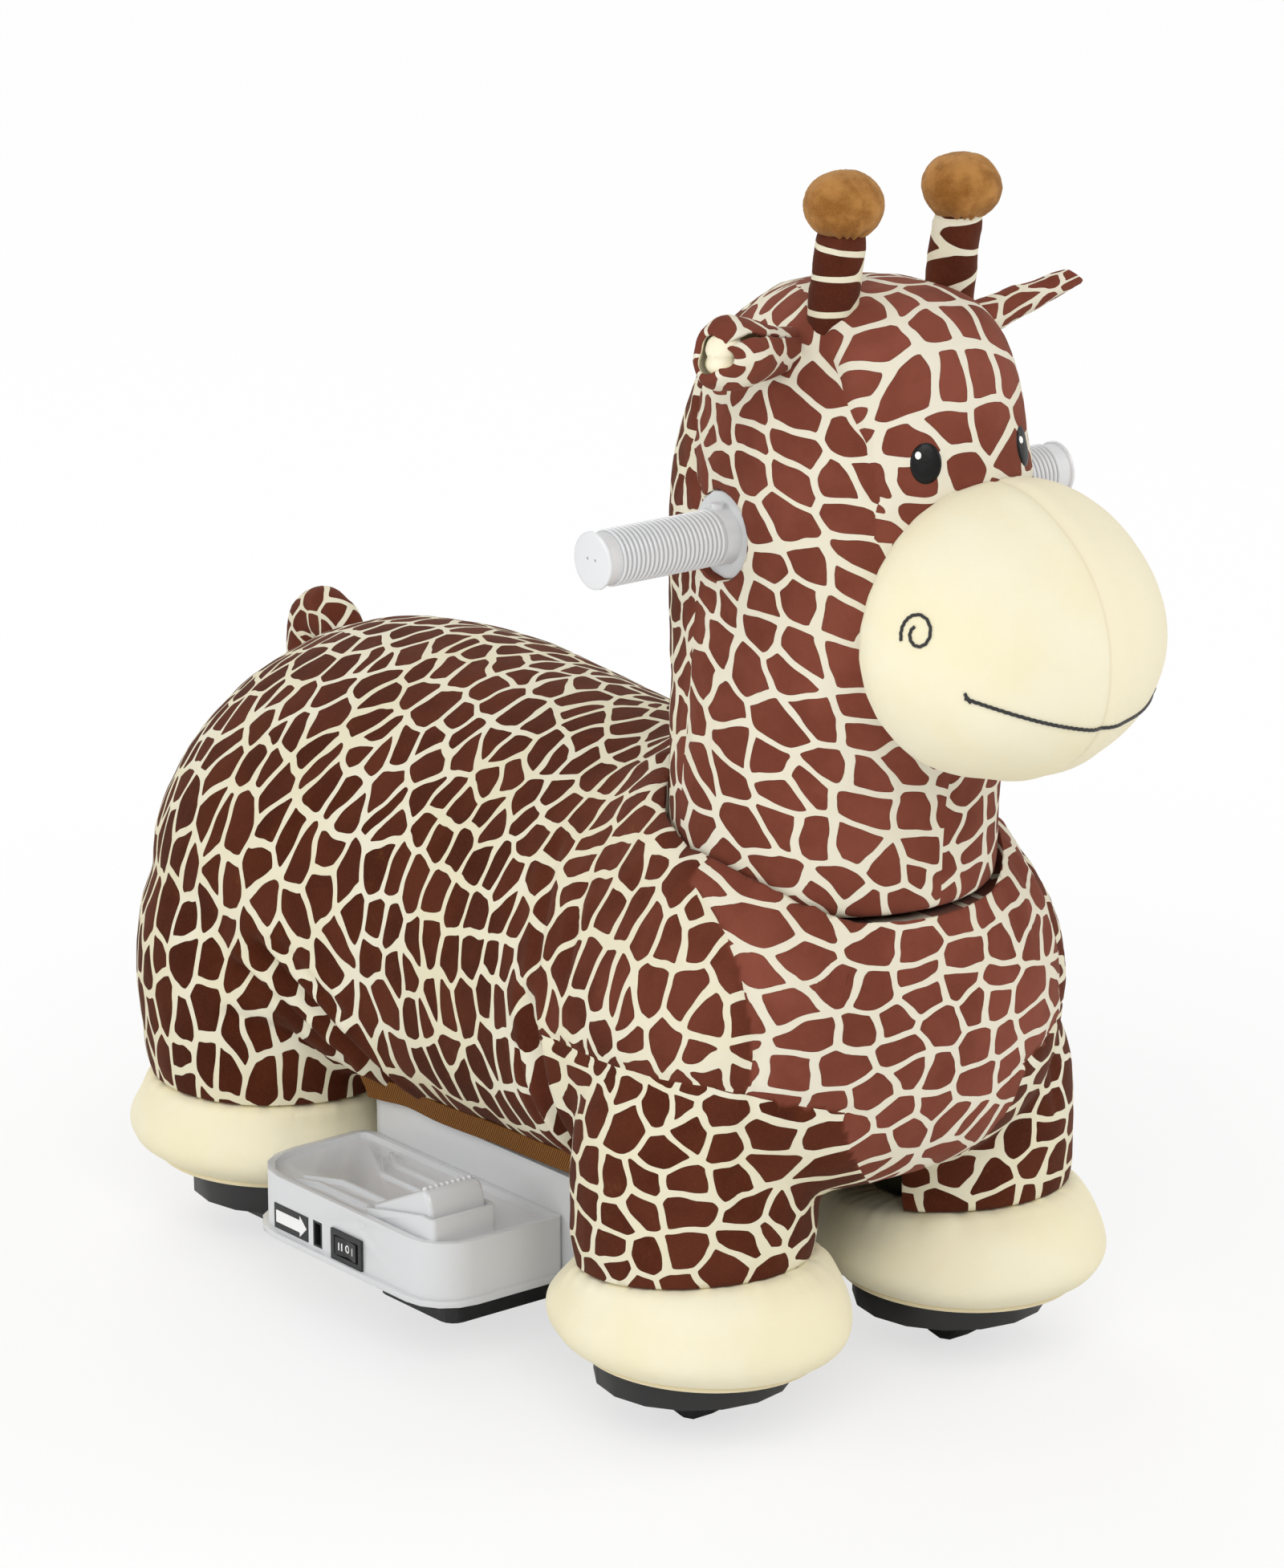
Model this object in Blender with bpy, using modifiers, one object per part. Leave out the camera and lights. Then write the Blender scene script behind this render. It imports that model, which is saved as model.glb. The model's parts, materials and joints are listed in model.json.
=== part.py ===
"""Plush ride-on giraffe with an electric drive, at real size in metres, +Z up.

The toy stands on the floor z = 0 and faces -Y, so its right side is -X.
"""
import math

import bmesh
import bpy

# Overall places and running gear
STEER_Y = -0.1530         # steering post and front wheels
WHEELBASE = 0.425
TRACK = 0.206             # between the wheels' middles, side to side
WHEEL_R = 0.024
WHEEL_W = 0.020
WHEEL_PLAY = 0.0008       # beside a wheel in its fork
GAP = 0.0003              # between pieces that touch

# Round leg mouldings that end in a dish over each wheel
CUP_R = 0.061
CUP_BOTTOM = 0.027
CUP_TOP = 0.060
CUP_WALL = 0.003
COLUMN_R = 0.028

# Front forks and steering
FORK_DISC_R = 0.030
FORK_DISC_T = 0.004
FORK_CHEEK_T = 0.003
FORK_CHEEK_W = 0.024
PIN_R = 0.003
KINGPIN_R = 0.006
STEER_ANGLE = 25.0        # degrees each way
STEER_ARM_L = 0.035
STEER_ARM_T = 0.006
ARM_PIN_R = 0.0025
TIE_ROD_T = 0.003
POST_R = 0.0125
POST_WALL = 0.003

# Front and rear frames
BEAM_BOTTOM = 0.170
BEAM_TOP = 0.200
BEAM_HALF_Y = 0.026
BEAM_OVER = 0.022         # beam beyond each kingpin
TOWER_TOP = 0.285
TOWER_RING_H = 0.023
TOWER_RING_R = 0.023
STRUT_HALF_X = 0.035
REAR_PLATE_T = 0.022

# Grey chassis moulding and black base
CHASSIS_HALF_X = 0.104
CHASSIS_FRONT = 0.100     # behind the steering post
CHASSIS_BACK = WHEELBASE - 0.092
CHASSIS_BOTTOM = 0.050
CHASSIS_TOP = 0.118
CHASSIS_WALL = 0.003
TROUGH_HALF_X = CHASSIS_HALF_X + 0.058
TROUGH_FRONT = CHASSIS_FRONT + 0.066
TROUGH_BACK = CHASSIS_BACK - 0.089
TROUGH_BOTTOM = 0.0205
BASE_T = 0.0025

# Seat frame on the chassis deck
SEAT_FRONT = CHASSIS_FRONT + 0.040
SEAT_BACK = CHASSIS_BACK - 0.043
SEAT_HALF_X = CHASSIS_HALF_X - 0.014
SEAT_H = 0.180

# Footplates
PLATE_OUT_X = CHASSIS_HALF_X + 0.0975
PLATE_FRONT = CHASSIS_FRONT + 0.026
PLATE_BACK = CHASSIS_BACK - 0.002
PLATE_TOP = 0.0915
PLATE_BOTTOM = 0.051
PLATE_WALL = 0.0028
PLATE_RIM = 0.005
TRAY_DEPTH = 0.004
LIP_OUT = 0.0035
LIP_H = 0.004
RIB_W = 0.003
RIB_H = 0.0025

# Accelerator pedal and the collar round it, on the right footplate
PEDAL_OUT_X = PLATE_OUT_X - 0.0110
PEDAL_IN_X = PEDAL_OUT_X - 0.0425
PEDAL_FRONT = PLATE_FRONT + 0.018
PEDAL_BACK = PLATE_FRONT + 0.4 * (PLATE_BACK - PLATE_FRONT)
PEDAL_RIDGE_Z = 0.1200
PEDAL_HEEL_Z = 0.0965
PEDAL_LEAN = 0.008
PEDAL_PLAY = 0.0008
PEDAL_TRAVEL = 4.0        # degrees, toe down
COLLAR_WALL = 0.0026
COLLAR_H = 0.013
TOOTH_COUNT = 10

# Charging socket and drive switch in the right footplate's outer wall
SOCKET_Y = PLATE_BACK - 0.0803   # behind the steering post
SOCKET_W = 0.0090
SOCKET_H = 0.0166
SOCKET_DEPTH = 0.010
SWITCH_Y = SOCKET_Y - 0.0324
SWITCH_W = 0.0320
SWITCH_H = 0.0200
SWITCH_TILT = 9.0         # degrees each way
WALL_PART_Z = 0.0652

# Rear drive: output gear on the axle, two-step reduction gear, motor pinion
GEAR_MODULE = 0.0015
OUTPUT_TEETH = 16
SMALL_TEETH = 8
LARGE_TEETH = 24
PINION_TEETH = 8
GEAR_A_W = 0.0055
GEAR_B_W = 0.0045
GEARBOX_WALL = 0.002
MOTOR_R = 0.0135
MOTOR_L = 0.0360

# Rear wheel brackets
AXLE_R = 0.003
CHEEK_IN = 0.0115         # inner cheek's near face, from the wheel's middle
CHEEK_OUT = 0.0310        # outer cheek's near face, which leaves room for the motor
BRACKET_SHEET = 0.003
BRACKET_HALF_Y = 0.0225

# Handlebar
BAR_Z = 0.546
BAR_R = 0.011
BAR_HALF = 0.1800         # to the grips' outer faces
GRIP_R = 0.0168
GRIP_COLLAR_R = 0.0158
GRIP_END_R = 0.0173
GRIP_INNER_X = 0.0923
FLANGE_X = 0.0790
FLANGE_R = 0.0265
FLANGE_T = 0.003

# Plush forms
BODY_AHEAD = 0.118        # chest ahead of the steering post
BODY_BEHIND = 0.123       # rump behind the rear wheels
BODY_HALF_X = 0.166
BODY_TOP = 0.392
BODY_BOTTOM = 0.108
NECK_R = 0.100
NECK_AHEAD = 0.010        # neck's round base ahead of the steering post
NECK_BOTTOM = 0.322
NECK_JOIN_Z = 0.405
NECK_CLEAR = 0.002
HEAD_TOP = 0.695
LEG_R = 0.0755
LEG_BOTTOM = 0.105
FOOT_BOTTOM = 0.043
FOOT_HALF_X = 0.089
FOOT_HALF_Y = 0.101
LEG_CAVITY_R = 0.0475
MUZZLE_Y = 0.158          # muzzle's middle ahead of the steering post
MUZZLE_Z = 0.509
MUZZLE_HALF_X = 0.0970
MUZZLE_HALF_Y = 0.0865
MUZZLE_HALF_Z = 0.0860
MUZZLE_DROOP = 0.007      # nose tip below the muzzle's middle

# Derived places
REAR_Y = STEER_Y + WHEELBASE
FORK_TOP = CUP_TOP - CUP_WALL - GAP
ARM_Z = BEAM_TOP + GAP
TIE_ROD_Z = ARM_Z + STEER_ARM_T + GAP
TRAY_Z = PLATE_TOP - TRAY_DEPTH
REAR_PLATE_Z = CHASSIS_TOP + GAP
SIDES = (("right", -1), ("left", 1))

# Ways to stand an outline that is drawn flat
FLAT = (0, 0, 0)
STAND_XZ = (math.pi / 2, 0, 0)
STAND_YZ = (math.pi / 2, 0, math.pi / 2)
TURN_TO_X = (0, math.pi / 2, 0)


def clear_scene():
    for obj in list(bpy.data.objects):
        bpy.data.objects.remove(obj, do_unlink=True)


def collection(name):
    group = bpy.data.collections.new(name)
    bpy.context.scene.collection.children.link(group)
    return group


clear_scene()
PARTS = collection("ride_on_giraffe")
CUTTERS = collection("cutters")
MATERIALS = {}


def material(name, colour, roughness, metallic=0.0):
    mat = bpy.data.materials.new(name)
    mat.use_nodes = True
    shader = mat.node_tree.nodes["Principled BSDF"]
    shader.inputs["Base Color"].default_value = (*colour, 1.0)
    shader.inputs["Roughness"].default_value = roughness
    shader.inputs["Metallic"].default_value = metallic
    MATERIALS[name] = mat
    return mat


def make_materials():
    material("giraffe_plush", (0.16, 0.06, 0.04), 0.9)
    material("cream_plush", (0.90, 0.84, 0.62), 0.9)
    material("ossicone_plush", (0.40, 0.21, 0.06), 0.9)
    material("grey_plastic", (0.58, 0.59, 0.61), 0.35)
    material("black_plastic", (0.02, 0.02, 0.022), 0.45)
    material("tyre_rubber", (0.018, 0.018, 0.018), 0.8)
    material("steel", (0.55, 0.55, 0.56), 0.3, 1.0)
    material("painted_frame", (0.05, 0.05, 0.055), 0.5)
    material("acetal", (0.82, 0.82, 0.78), 0.4)
    material("circuit_board", (0.02, 0.18, 0.06), 0.5)
    material("battery_case", (0.06, 0.06, 0.07), 0.5)


def register(obj, finish, is_part=True):
    group = PARTS if is_part else CUTTERS
    group.objects.link(obj)
    if is_part:
        mat = MATERIALS[finish].copy()
        mat.name = obj.name + "_finish"
        obj.data.materials.append(mat)
    else:
        obj.hide_render = True
        obj.display_type = "WIRE"
    return obj


def smooth(obj, angle=35):
    obj.data.shade_smooth()
    obj.data.set_sharp_from_angle(angle=math.radians(angle))
    return obj


def box(name, low, high, finish, is_part=True, bevel=0.0, segments=2):
    """Box between two corners, with its scale held in the mesh."""
    bm = bmesh.new()
    bmesh.ops.create_cube(bm, size=1.0)
    size = [h - l for l, h in zip(low, high)]
    bmesh.ops.scale(bm, vec=size, verts=bm.verts)
    if bevel:
        bmesh.ops.bevel(bm, geom=bm.edges[:], offset=bevel, segments=segments, affect="EDGES", profile=0.5)
    mesh = bpy.data.meshes.new(name)
    bm.to_mesh(mesh)
    bm.free()
    obj = bpy.data.objects.new(name, mesh)
    obj.location = [(l + h) / 2 for l, h in zip(low, high)]
    return register(obj, finish, is_part)


def turned(name, profile, finish, location=(0, 0, 0), rotation=FLAT, steps=16, is_part=True, ring=False):
    """Profile of (radius, height) points, outer side from top to bottom, turned about its own Z."""
    mesh = bpy.data.meshes.new(name)
    points = [(r, 0, h) for r, h in profile]
    edges = [(i, i + 1) for i in range(len(points) - 1)]
    if ring:
        edges.append((len(points) - 1, 0))
    mesh.from_pydata(points, edges, [])
    obj = bpy.data.objects.new(name, mesh)
    obj.location = location
    obj.rotation_euler = rotation
    screw = obj.modifiers.new("turn", "SCREW")
    screw.steps = steps
    screw.render_steps = steps
    screw.use_merge_vertices = True
    screw.merge_threshold = 0.00005
    screw.use_smooth_shade = True
    return register(obj, finish, is_part)


def rod(name, radius, low, high, finish, location=(0, 0, 0), rotation=FLAT, steps=14, is_part=True):
    """Plain cylinder from height low to height high on its own Z."""
    profile = ((0, high), (radius, high), (radius, low), (0, low))
    return turned(name, profile, finish, location, rotation, steps, is_part)


def bore(name, radius, low, high, location=(0, 0, 0), rotation=FLAT, steps=14):
    """Cutter whose flats, not its corners, lie at the radius, so that a pin of that size passes."""
    return rod(name, radius / math.cos(math.pi / steps), low, high, None, location, rotation, steps, False)


def plate(name, outline, thickness, finish, location=(0, 0, 0), rotation=FLAT, is_part=True):
    """Flat outline filled and thickened, centred on its plane, then made a mesh."""
    data = bpy.data.curves.new(name + "_outline", "CURVE")
    data.dimensions = "2D"
    data.fill_mode = "BOTH"
    data.extrude = thickness / 2
    spline = data.splines.new("POLY")
    spline.points.add(len(outline) - 1)
    for point, (x, y) in zip(spline.points, outline):
        point.co = (x, y, 0, 1)
    spline.use_cyclic_u = True
    guide = bpy.data.objects.new(name + "_outline", data)
    guide.location = location
    guide.rotation_euler = rotation
    CUTTERS.objects.link(guide)
    bpy.context.view_layer.update()
    solid = bpy.data.meshes.new_from_object(guide.evaluated_get(bpy.context.evaluated_depsgraph_get()))
    bm = bmesh.new()
    bm.from_mesh(solid)
    bmesh.ops.remove_doubles(bm, verts=bm.verts, dist=0.00001)
    bmesh.ops.recalc_face_normals(bm, faces=bm.faces)
    bm.to_mesh(solid)
    bm.free()
    obj = bpy.data.objects.new(name, solid)
    obj.matrix_world = guide.matrix_world.copy()
    bpy.data.objects.remove(guide, do_unlink=True)
    bpy.data.curves.remove(data)
    return register(obj, finish, is_part)


def boolean(obj, tool, operation):
    step = obj.modifiers.new(tool.name, "BOOLEAN")
    step.operation = operation
    step.object = tool
    step.solver = "EXACT"
    return obj


def cut(obj, *tools):
    for tool in tools:
        boolean(obj, tool, "DIFFERENCE")
    return obj


def join(obj, *tools):
    for tool in tools:
        boolean(obj, tool, "UNION")
    return obj


def arc(cx, cy, radius, start, end, count):
    """Points on an arc, angles in degrees."""
    step = (end - start) / count
    angles = [math.radians(start + step * i) for i in range(count + 1)]
    return [(cx + radius * math.cos(a), cy + radius * math.sin(a)) for a in angles]


def rounded(corners, segments=6):
    """Polygon of (x, y, radius) corners with each corner rounded by its own radius."""
    points = []
    count = len(corners)
    for i, (x, y, radius) in enumerate(corners):
        if radius <= 0:
            points.append((x, y))
            continue
        before = corners[i - 1]
        after = corners[(i + 1) % count]
        a = math.atan2(before[1] - y, before[0] - x)
        b = math.atan2(after[1] - y, after[0] - x)
        turn = (b - a + math.pi) % (2 * math.pi) - math.pi
        reach = radius / abs(math.tan(turn / 2))
        centre_angle = a + turn / 2
        away = radius / abs(math.sin(turn / 2))
        cx = x + away * math.cos(centre_angle)
        cy = y + away * math.sin(centre_angle)
        first = math.atan2(y + reach * math.sin(a) - cy, x + reach * math.cos(a) - cx)
        last = math.atan2(y + reach * math.sin(b) - cy, x + reach * math.cos(b) - cx)
        sweep = (last - first + math.pi) % (2 * math.pi) - math.pi
        for k in range(segments + 1):
            angle = first + sweep * k / segments
            points.append((cx + radius * math.cos(angle), cy + radius * math.sin(angle)))
    return points


def wrap_circles(circles, count=24):
    """Outline drawn tight round (x, y, radius) circles, as a belt would lie."""
    cloud = []
    for x, y, radius in circles:
        cloud += arc(x, y, radius, 0, 360 - 360 / count, count - 1)
    cloud.sort()

    def chain(points):
        side = []
        for p in points:
            while len(side) > 1 and cross(side[-2], side[-1], p) <= 1e-12:
                side.pop()
            side.append(p)
        return side[:-1]

    return chain(cloud) + chain(cloud[::-1])


def cross(a, b, c):
    return (b[0] - a[0]) * (c[1] - a[1]) - (b[1] - a[1]) * (c[0] - a[0])


def ring_points(half_a, half_b, squareness, count):
    """Closed superellipse ring, squareness 2 being a plain ellipse."""
    power = 2 / squareness
    points = []
    for i in range(count):
        angle = 2 * math.pi * i / count
        c = math.cos(angle)
        s = math.sin(angle)
        points.append((half_a * math.copysign(abs(c) ** power, c), half_b * math.copysign(abs(s) ** power, s)))
    return points


def soft_swell(count):
    """How much a cage ring must stand out so that one subdivision meets its size."""
    return 1 / (0.75 + 0.25 * math.cos(2 * math.pi / count))


def loft(name, rings, finish, location=(0, 0, 0), rotation=FLAT, levels=1, is_part=True, puff=0.0):
    """Soft closed form from rings of 3-D points, closed with a point at each end, then subdivided."""
    bm = bmesh.new()
    rows = [[bm.verts.new(p) for p in ring] for ring in rings[1:-1]]
    start = bm.verts.new(rings[0])
    end = bm.verts.new(rings[-1])
    count = len(rows[0])
    for i in range(count):
        j = (i + 1) % count
        bm.faces.new((start, rows[0][i], rows[0][j]))
        bm.faces.new((end, rows[-1][j], rows[-1][i]))
        for a, b in zip(rows, rows[1:]):
            bm.faces.new((a[i], b[i], b[j], a[j]))
    bmesh.ops.recalc_face_normals(bm, faces=bm.faces)
    mesh = bpy.data.meshes.new(name)
    bm.to_mesh(mesh)
    bm.free()
    mesh.shade_smooth()
    obj = bpy.data.objects.new(name, mesh)
    obj.location = location
    obj.rotation_euler = rotation
    soft = obj.modifiers.new("soft", "SUBSURF")
    soft.levels = levels
    soft.render_levels = levels
    facets = obj.modifiers.new("facets", "TRIANGULATE")
    facets.quad_method = "FIXED"
    if puff:
        swell = obj.modifiers.new("puff", "DISPLACE")
        swell.strength = puff
        swell.mid_level = 0.0
    return register(obj, finish, is_part)


def gear_outline(teeth, phase):
    """Involute-like tooth outline with running backlash; phase is the first tooth's middle in degrees."""
    pitch_r = teeth * GEAR_MODULE / 2
    base_r = pitch_r * math.cos(math.radians(20))
    tip_r = pitch_r + 0.85 * GEAR_MODULE
    root_r = pitch_r - 1.2 * GEAR_MODULE
    backlash = 0.12 * GEAR_MODULE

    def roll(radius):
        ratio = min(1.0, base_r / radius)
        return math.tan(math.acos(ratio)) - math.acos(ratio)

    def half_angle(radius):
        at_pitch = math.pi / (2 * teeth) - backlash / pitch_r
        return at_pitch + roll(pitch_r) - roll(max(radius, base_r))

    points = []
    for k in range(teeth):
        middle = math.radians(phase) + 2 * math.pi * k / teeth
        for radius, side in ((root_r, -1), (tip_r, -1), (tip_r, 1), (root_r, 1)):
            angle = middle + side * half_angle(radius)
            points.append((radius * math.cos(angle), radius * math.sin(angle)))
    return points


def grown(corners, by):
    """Rounded corners of a rectangle moved out by a distance, or in by a negative one."""
    mid_x = sum(c[0] for c in corners) / len(corners)
    mid_y = sum(c[1] for c in corners) / len(corners)
    moved = []
    for x, y, radius in corners:
        shift_x = by if x > mid_x else -by
        shift_y = by if y > mid_y else -by
        moved.append((x + shift_x, y + shift_y, max(radius + by, 0.0008)))
    return moved


def rectangle(x0, y0, x1, y1, radius):
    return [(x0, y0, radius), (x1, y0, radius), (x1, y1, radius), (x0, y1, radius)]


def slab(name, corners, z0, z1, finish, is_part=True, segments=4):
    """Level plate between two heights with its own corner radii."""
    return plate(name, rounded(corners, segments), z1 - z0, finish, (0, 0, (z0 + z1) / 2), FLAT, is_part)


def behind(distance):
    """Place along Y of something that lies behind the steering post."""
    return STEER_Y + distance


def beside(side, inward):
    """Place along X of something at a distance inward of a wheel's middle."""
    return side * (TRACK / 2 - inward)


def span(a, b):
    return (min(a, b), max(a, b))


def carry(name, location, nodes):
    """Empty on a joint's axis that carries the pieces that move with it."""
    empty = bpy.data.objects.new(name, None)
    empty.empty_display_size = 0.03
    empty.location = location
    PARTS.objects.link(empty)
    bpy.context.view_layer.update()
    for node in nodes:
        child = bpy.data.objects[node]
        keep = child.matrix_world.copy()
        child.parent = empty
        child.matrix_parent_inverse = empty.matrix_world.inverted()
        child.matrix_world = keep
    return empty


def make_front_frame():
    """Pressed steel beam over the front legs with a tower for the steering post."""
    end_x = TRACK / 2 + BEAM_OVER
    sheet = 0.003
    outline = rectangle(-end_x, STEER_Y - BEAM_HALF_Y, end_x, STEER_Y + BEAM_HALF_Y, BEAM_HALF_Y - 0.001)
    beam = slab("front_frame", outline, BEAM_BOTTOM, BEAM_TOP, "painted_frame", segments=3)
    hollow = slab("beam_hollow", grown(outline, -sheet), BEAM_BOTTOM - 0.01, BEAM_TOP - sheet, None, False, 3)
    for label, x, radius in (("right", -TRACK / 2, 0.0115), ("left", TRACK / 2, 0.0115), ("middle", 0, 0.019)):
        hub = rod("hub_" + label, radius, BEAM_BOTTOM - 0.02, BEAM_TOP, None, (x, STEER_Y, 0), FLAT, 10, False)
        cut(hollow, hub)

    wall_front = STEER_Y - TOWER_RING_R - 0.004
    wall_back = STEER_Y - POST_R - 0.005
    tower = box("tower", (-0.0215, wall_front, BEAM_TOP - 0.002), (0.0215, wall_back, TOWER_TOP - 0.001), None, False)
    ring = rod("tower_ring", TOWER_RING_R, TOWER_TOP - TOWER_RING_H, TOWER_TOP, None, (0, STEER_Y, 0), FLAT, 14, False)

    foot_front = behind(CHASSIS_FRONT + 0.004)
    foot_back = behind(CHASSIS_FRONT + 0.038)
    knee = behind(CHASSIS_FRONT - 0.015)
    start = STEER_Y + BEAM_HALF_Y - 0.0016
    top = BEAM_TOP - 0.001
    strut_line = [(start, top), (behind(CHASSIS_FRONT), top), (foot_back, REAR_PLATE_Z + 0.012),
                  (foot_back, REAR_PLATE_Z), (foot_front, REAR_PLATE_Z), (knee, BEAM_BOTTOM + 0.002),
                  (start, BEAM_BOTTOM + 0.002)]
    strut = plate("strut", strut_line, 2 * STRUT_HALF_X, None, (0, 0, 0), STAND_YZ, False)
    low_line = [(start - 0.001, top - sheet), (behind(CHASSIS_FRONT) - 0.001, top - sheet),
                (foot_back - 0.004, REAR_PLATE_Z + 0.012), (foot_back - 0.004, REAR_PLATE_Z + sheet),
                (foot_front + 0.002, REAR_PLATE_Z + sheet), (foot_front + 0.001, REAR_PLATE_Z - 0.01),
                (knee - 0.02, REAR_PLATE_Z - 0.01), (start - 0.001, BEAM_BOTTOM - 0.02)]
    inside = plate("strut_hollow", low_line, 2 * (STRUT_HALF_X - sheet), None, (0, 0, 0), STAND_YZ, False)
    join(beam, tower, ring, strut)
    join(hollow, inside)

    hole = bore("post_bore", POST_R + GAP, BEAM_BOTTOM - 0.01, TOWER_TOP + 0.01, (0, STEER_Y, 0))
    join(hollow, hole)
    for label, side in SIDES:
        place = (side * TRACK / 2, STEER_Y, 0)
        hole = bore("kingpin_bore_" + label, KINGPIN_R + GAP, BEAM_BOTTOM - 0.01, BEAM_TOP + 0.01, place, FLAT, 12)
        join(hollow, hole)
    return cut(beam, hollow)


def make_front_leg(label, side):
    """Round column with a stiff core round the kingpin, and the dish over the castor."""
    top = BEAM_BOTTOM - GAP
    wall = CUP_WALL
    bore = KINGPIN_R + GAP
    profile = [(COLUMN_R, top), (COLUMN_R, CUP_TOP + 0.008), (COLUMN_R + 0.008, CUP_TOP), (CUP_R - 0.011, CUP_TOP), (CUP_R - 0.0035, CUP_TOP - 0.0035),
               (CUP_R, CUP_TOP - 0.011), (CUP_R, CUP_BOTTOM), (CUP_R - wall, CUP_BOTTOM),
               (CUP_R - wall, CUP_TOP - 0.0125), (CUP_R - 0.0055, CUP_TOP - 0.0065), (CUP_R - 0.012, CUP_TOP - wall),
               (bore, CUP_TOP - wall), (bore, top), (bore + 0.0035, top), (bore + 0.0035, CUP_TOP + wall),
               (COLUMN_R - wall, CUP_TOP + wall), (COLUMN_R - wall, top)]
    leg = turned("leg_moulding_front_" + label, profile, "black_plastic", (side * TRACK / 2, STEER_Y, 0), steps=16, ring=True)
    return leg


def make_rear_cup(label, side):
    """Dish over a rear wheel, open at its top where the bracket passes through."""
    hole_r = CUP_R - 0.019
    wall = CUP_WALL
    profile = [(hole_r, CUP_TOP), (CUP_R - 0.011, CUP_TOP), (CUP_R - 0.0035, CUP_TOP - 0.0035),
               (CUP_R, CUP_TOP - 0.011), (CUP_R, CUP_BOTTOM), (CUP_R - wall, CUP_BOTTOM),
               (CUP_R - wall, CUP_TOP - 0.0125), (CUP_R - 0.0055, CUP_TOP - 0.0065),
               (CUP_R - 0.012, CUP_TOP - wall), (hole_r, CUP_TOP - wall)]
    return turned("foot_cup_rear_" + label, profile, "black_plastic", (side * TRACK / 2, REAR_Y, 0), steps=16, ring=True)


def make_fork(label, side):
    """Steerable fork: kingpin, disc, two cheeks and the wheel's pin."""
    x = side * TRACK / 2
    place = (x, STEER_Y, 0)
    low = WHEEL_R - 0.009
    inner = WHEEL_W / 2 + WHEEL_PLAY
    outer = inner + FORK_CHEEK_T
    profile = ((0, ARM_Z + STEER_ARM_T + 0.0085), (KINGPIN_R - 0.001, ARM_Z + STEER_ARM_T + 0.0085),
               (KINGPIN_R, ARM_Z + STEER_ARM_T + 0.0075), (KINGPIN_R, FORK_TOP), (FORK_DISC_R, FORK_TOP),
               (FORK_DISC_R, FORK_TOP - FORK_DISC_T), (0, FORK_TOP - FORK_DISC_T))
    fork = turned("fork_front_" + label, profile, "steel", place, steps=14)
    half = FORK_CHEEK_W / 2
    cheek_line = [(-half, FORK_TOP - 0.001), (-half, WHEEL_R + 0.004)]
    cheek_line += arc(0, WHEEL_R, WHEEL_R - low, 180, 360, 6)
    cheek_line += [(half, WHEEL_R + 0.004), (half, FORK_TOP - 0.001)]
    for end, sign in (("a", -1), ("b", 1)):
        middle = x + sign * (inner + outer) / 2
        cheek = plate("cheek_" + end + label, cheek_line, FORK_CHEEK_T, None, (middle, STEER_Y, 0), STAND_YZ, False)
        join(fork, cheek)
    pin = rod("pin_" + label, PIN_R, -outer - 0.002, outer + 0.002, None, (x, STEER_Y, WHEEL_R), TURN_TO_X, 10, False)
    join(fork, pin)
    return fork


def make_wheel(name, x, y, bore):
    """Small castor wheel with a dished hub."""
    half = WHEEL_W / 2
    hub = 0.0095
    profile = [(WHEEL_R - 0.002, half), (WHEEL_R, half - 0.0025), (WHEEL_R, 0.0025 - half), (WHEEL_R - 0.002, -half),
               (hub, 0.0025 - half), (bore, 0.0025 - half), (bore, half - 0.0025), (hub, half - 0.0025)]
    return turned(name, profile, "tyre_rubber", (x, y, WHEEL_R), TURN_TO_X, 16, ring=True)


def make_steering_arm(label, side):
    """Arm fixed on a kingpin, with the pin that carries the tie rod."""
    x = side * TRACK / 2
    line = wrap_circles([(0, 0, 0.0105), (0, STEER_ARM_L, 0.0065)], 14)
    arm = plate("steering_arm_" + label, line, STEER_ARM_T, "painted_frame", (x, STEER_Y, ARM_Z + STEER_ARM_T / 2))
    pin_top = TIE_ROD_Z + TIE_ROD_T + 0.0015
    pin = rod("arm_pin_" + label, ARM_PIN_R, ARM_Z + 0.001, pin_top, None, (x, STEER_Y + STEER_ARM_L, 0), FLAT, 8, False)
    hole = bore("arm_bore_" + label, KINGPIN_R + GAP, ARM_Z - 0.01, ARM_Z + 0.02, (x, STEER_Y, 0), FLAT, 12)
    join(arm, pin)
    return cut(arm, hole)


def make_tie_rod():
    """Flat bar that turns both forks with the steering post."""
    end_x = TRACK / 2
    line = rounded(rectangle(-end_x - 0.0065, -0.0065, end_x + 0.0065, 0.0065, 0.006), 2)
    place = (0, STEER_Y + STEER_ARM_L, TIE_ROD_Z + TIE_ROD_T / 2)
    bar = plate("tie_rod", line, TIE_ROD_T, "steel", place)
    for label, x in (("r", -end_x), ("m", 0), ("l", end_x)):
        hole = bore("rod_hole_" + label, ARM_PIN_R + GAP, TIE_ROD_Z - 0.01, TIE_ROD_Z + 0.01,
                    (x, STEER_Y + STEER_ARM_L, 0), FLAT, 8)
        cut(bar, hole)
    return bar


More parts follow.
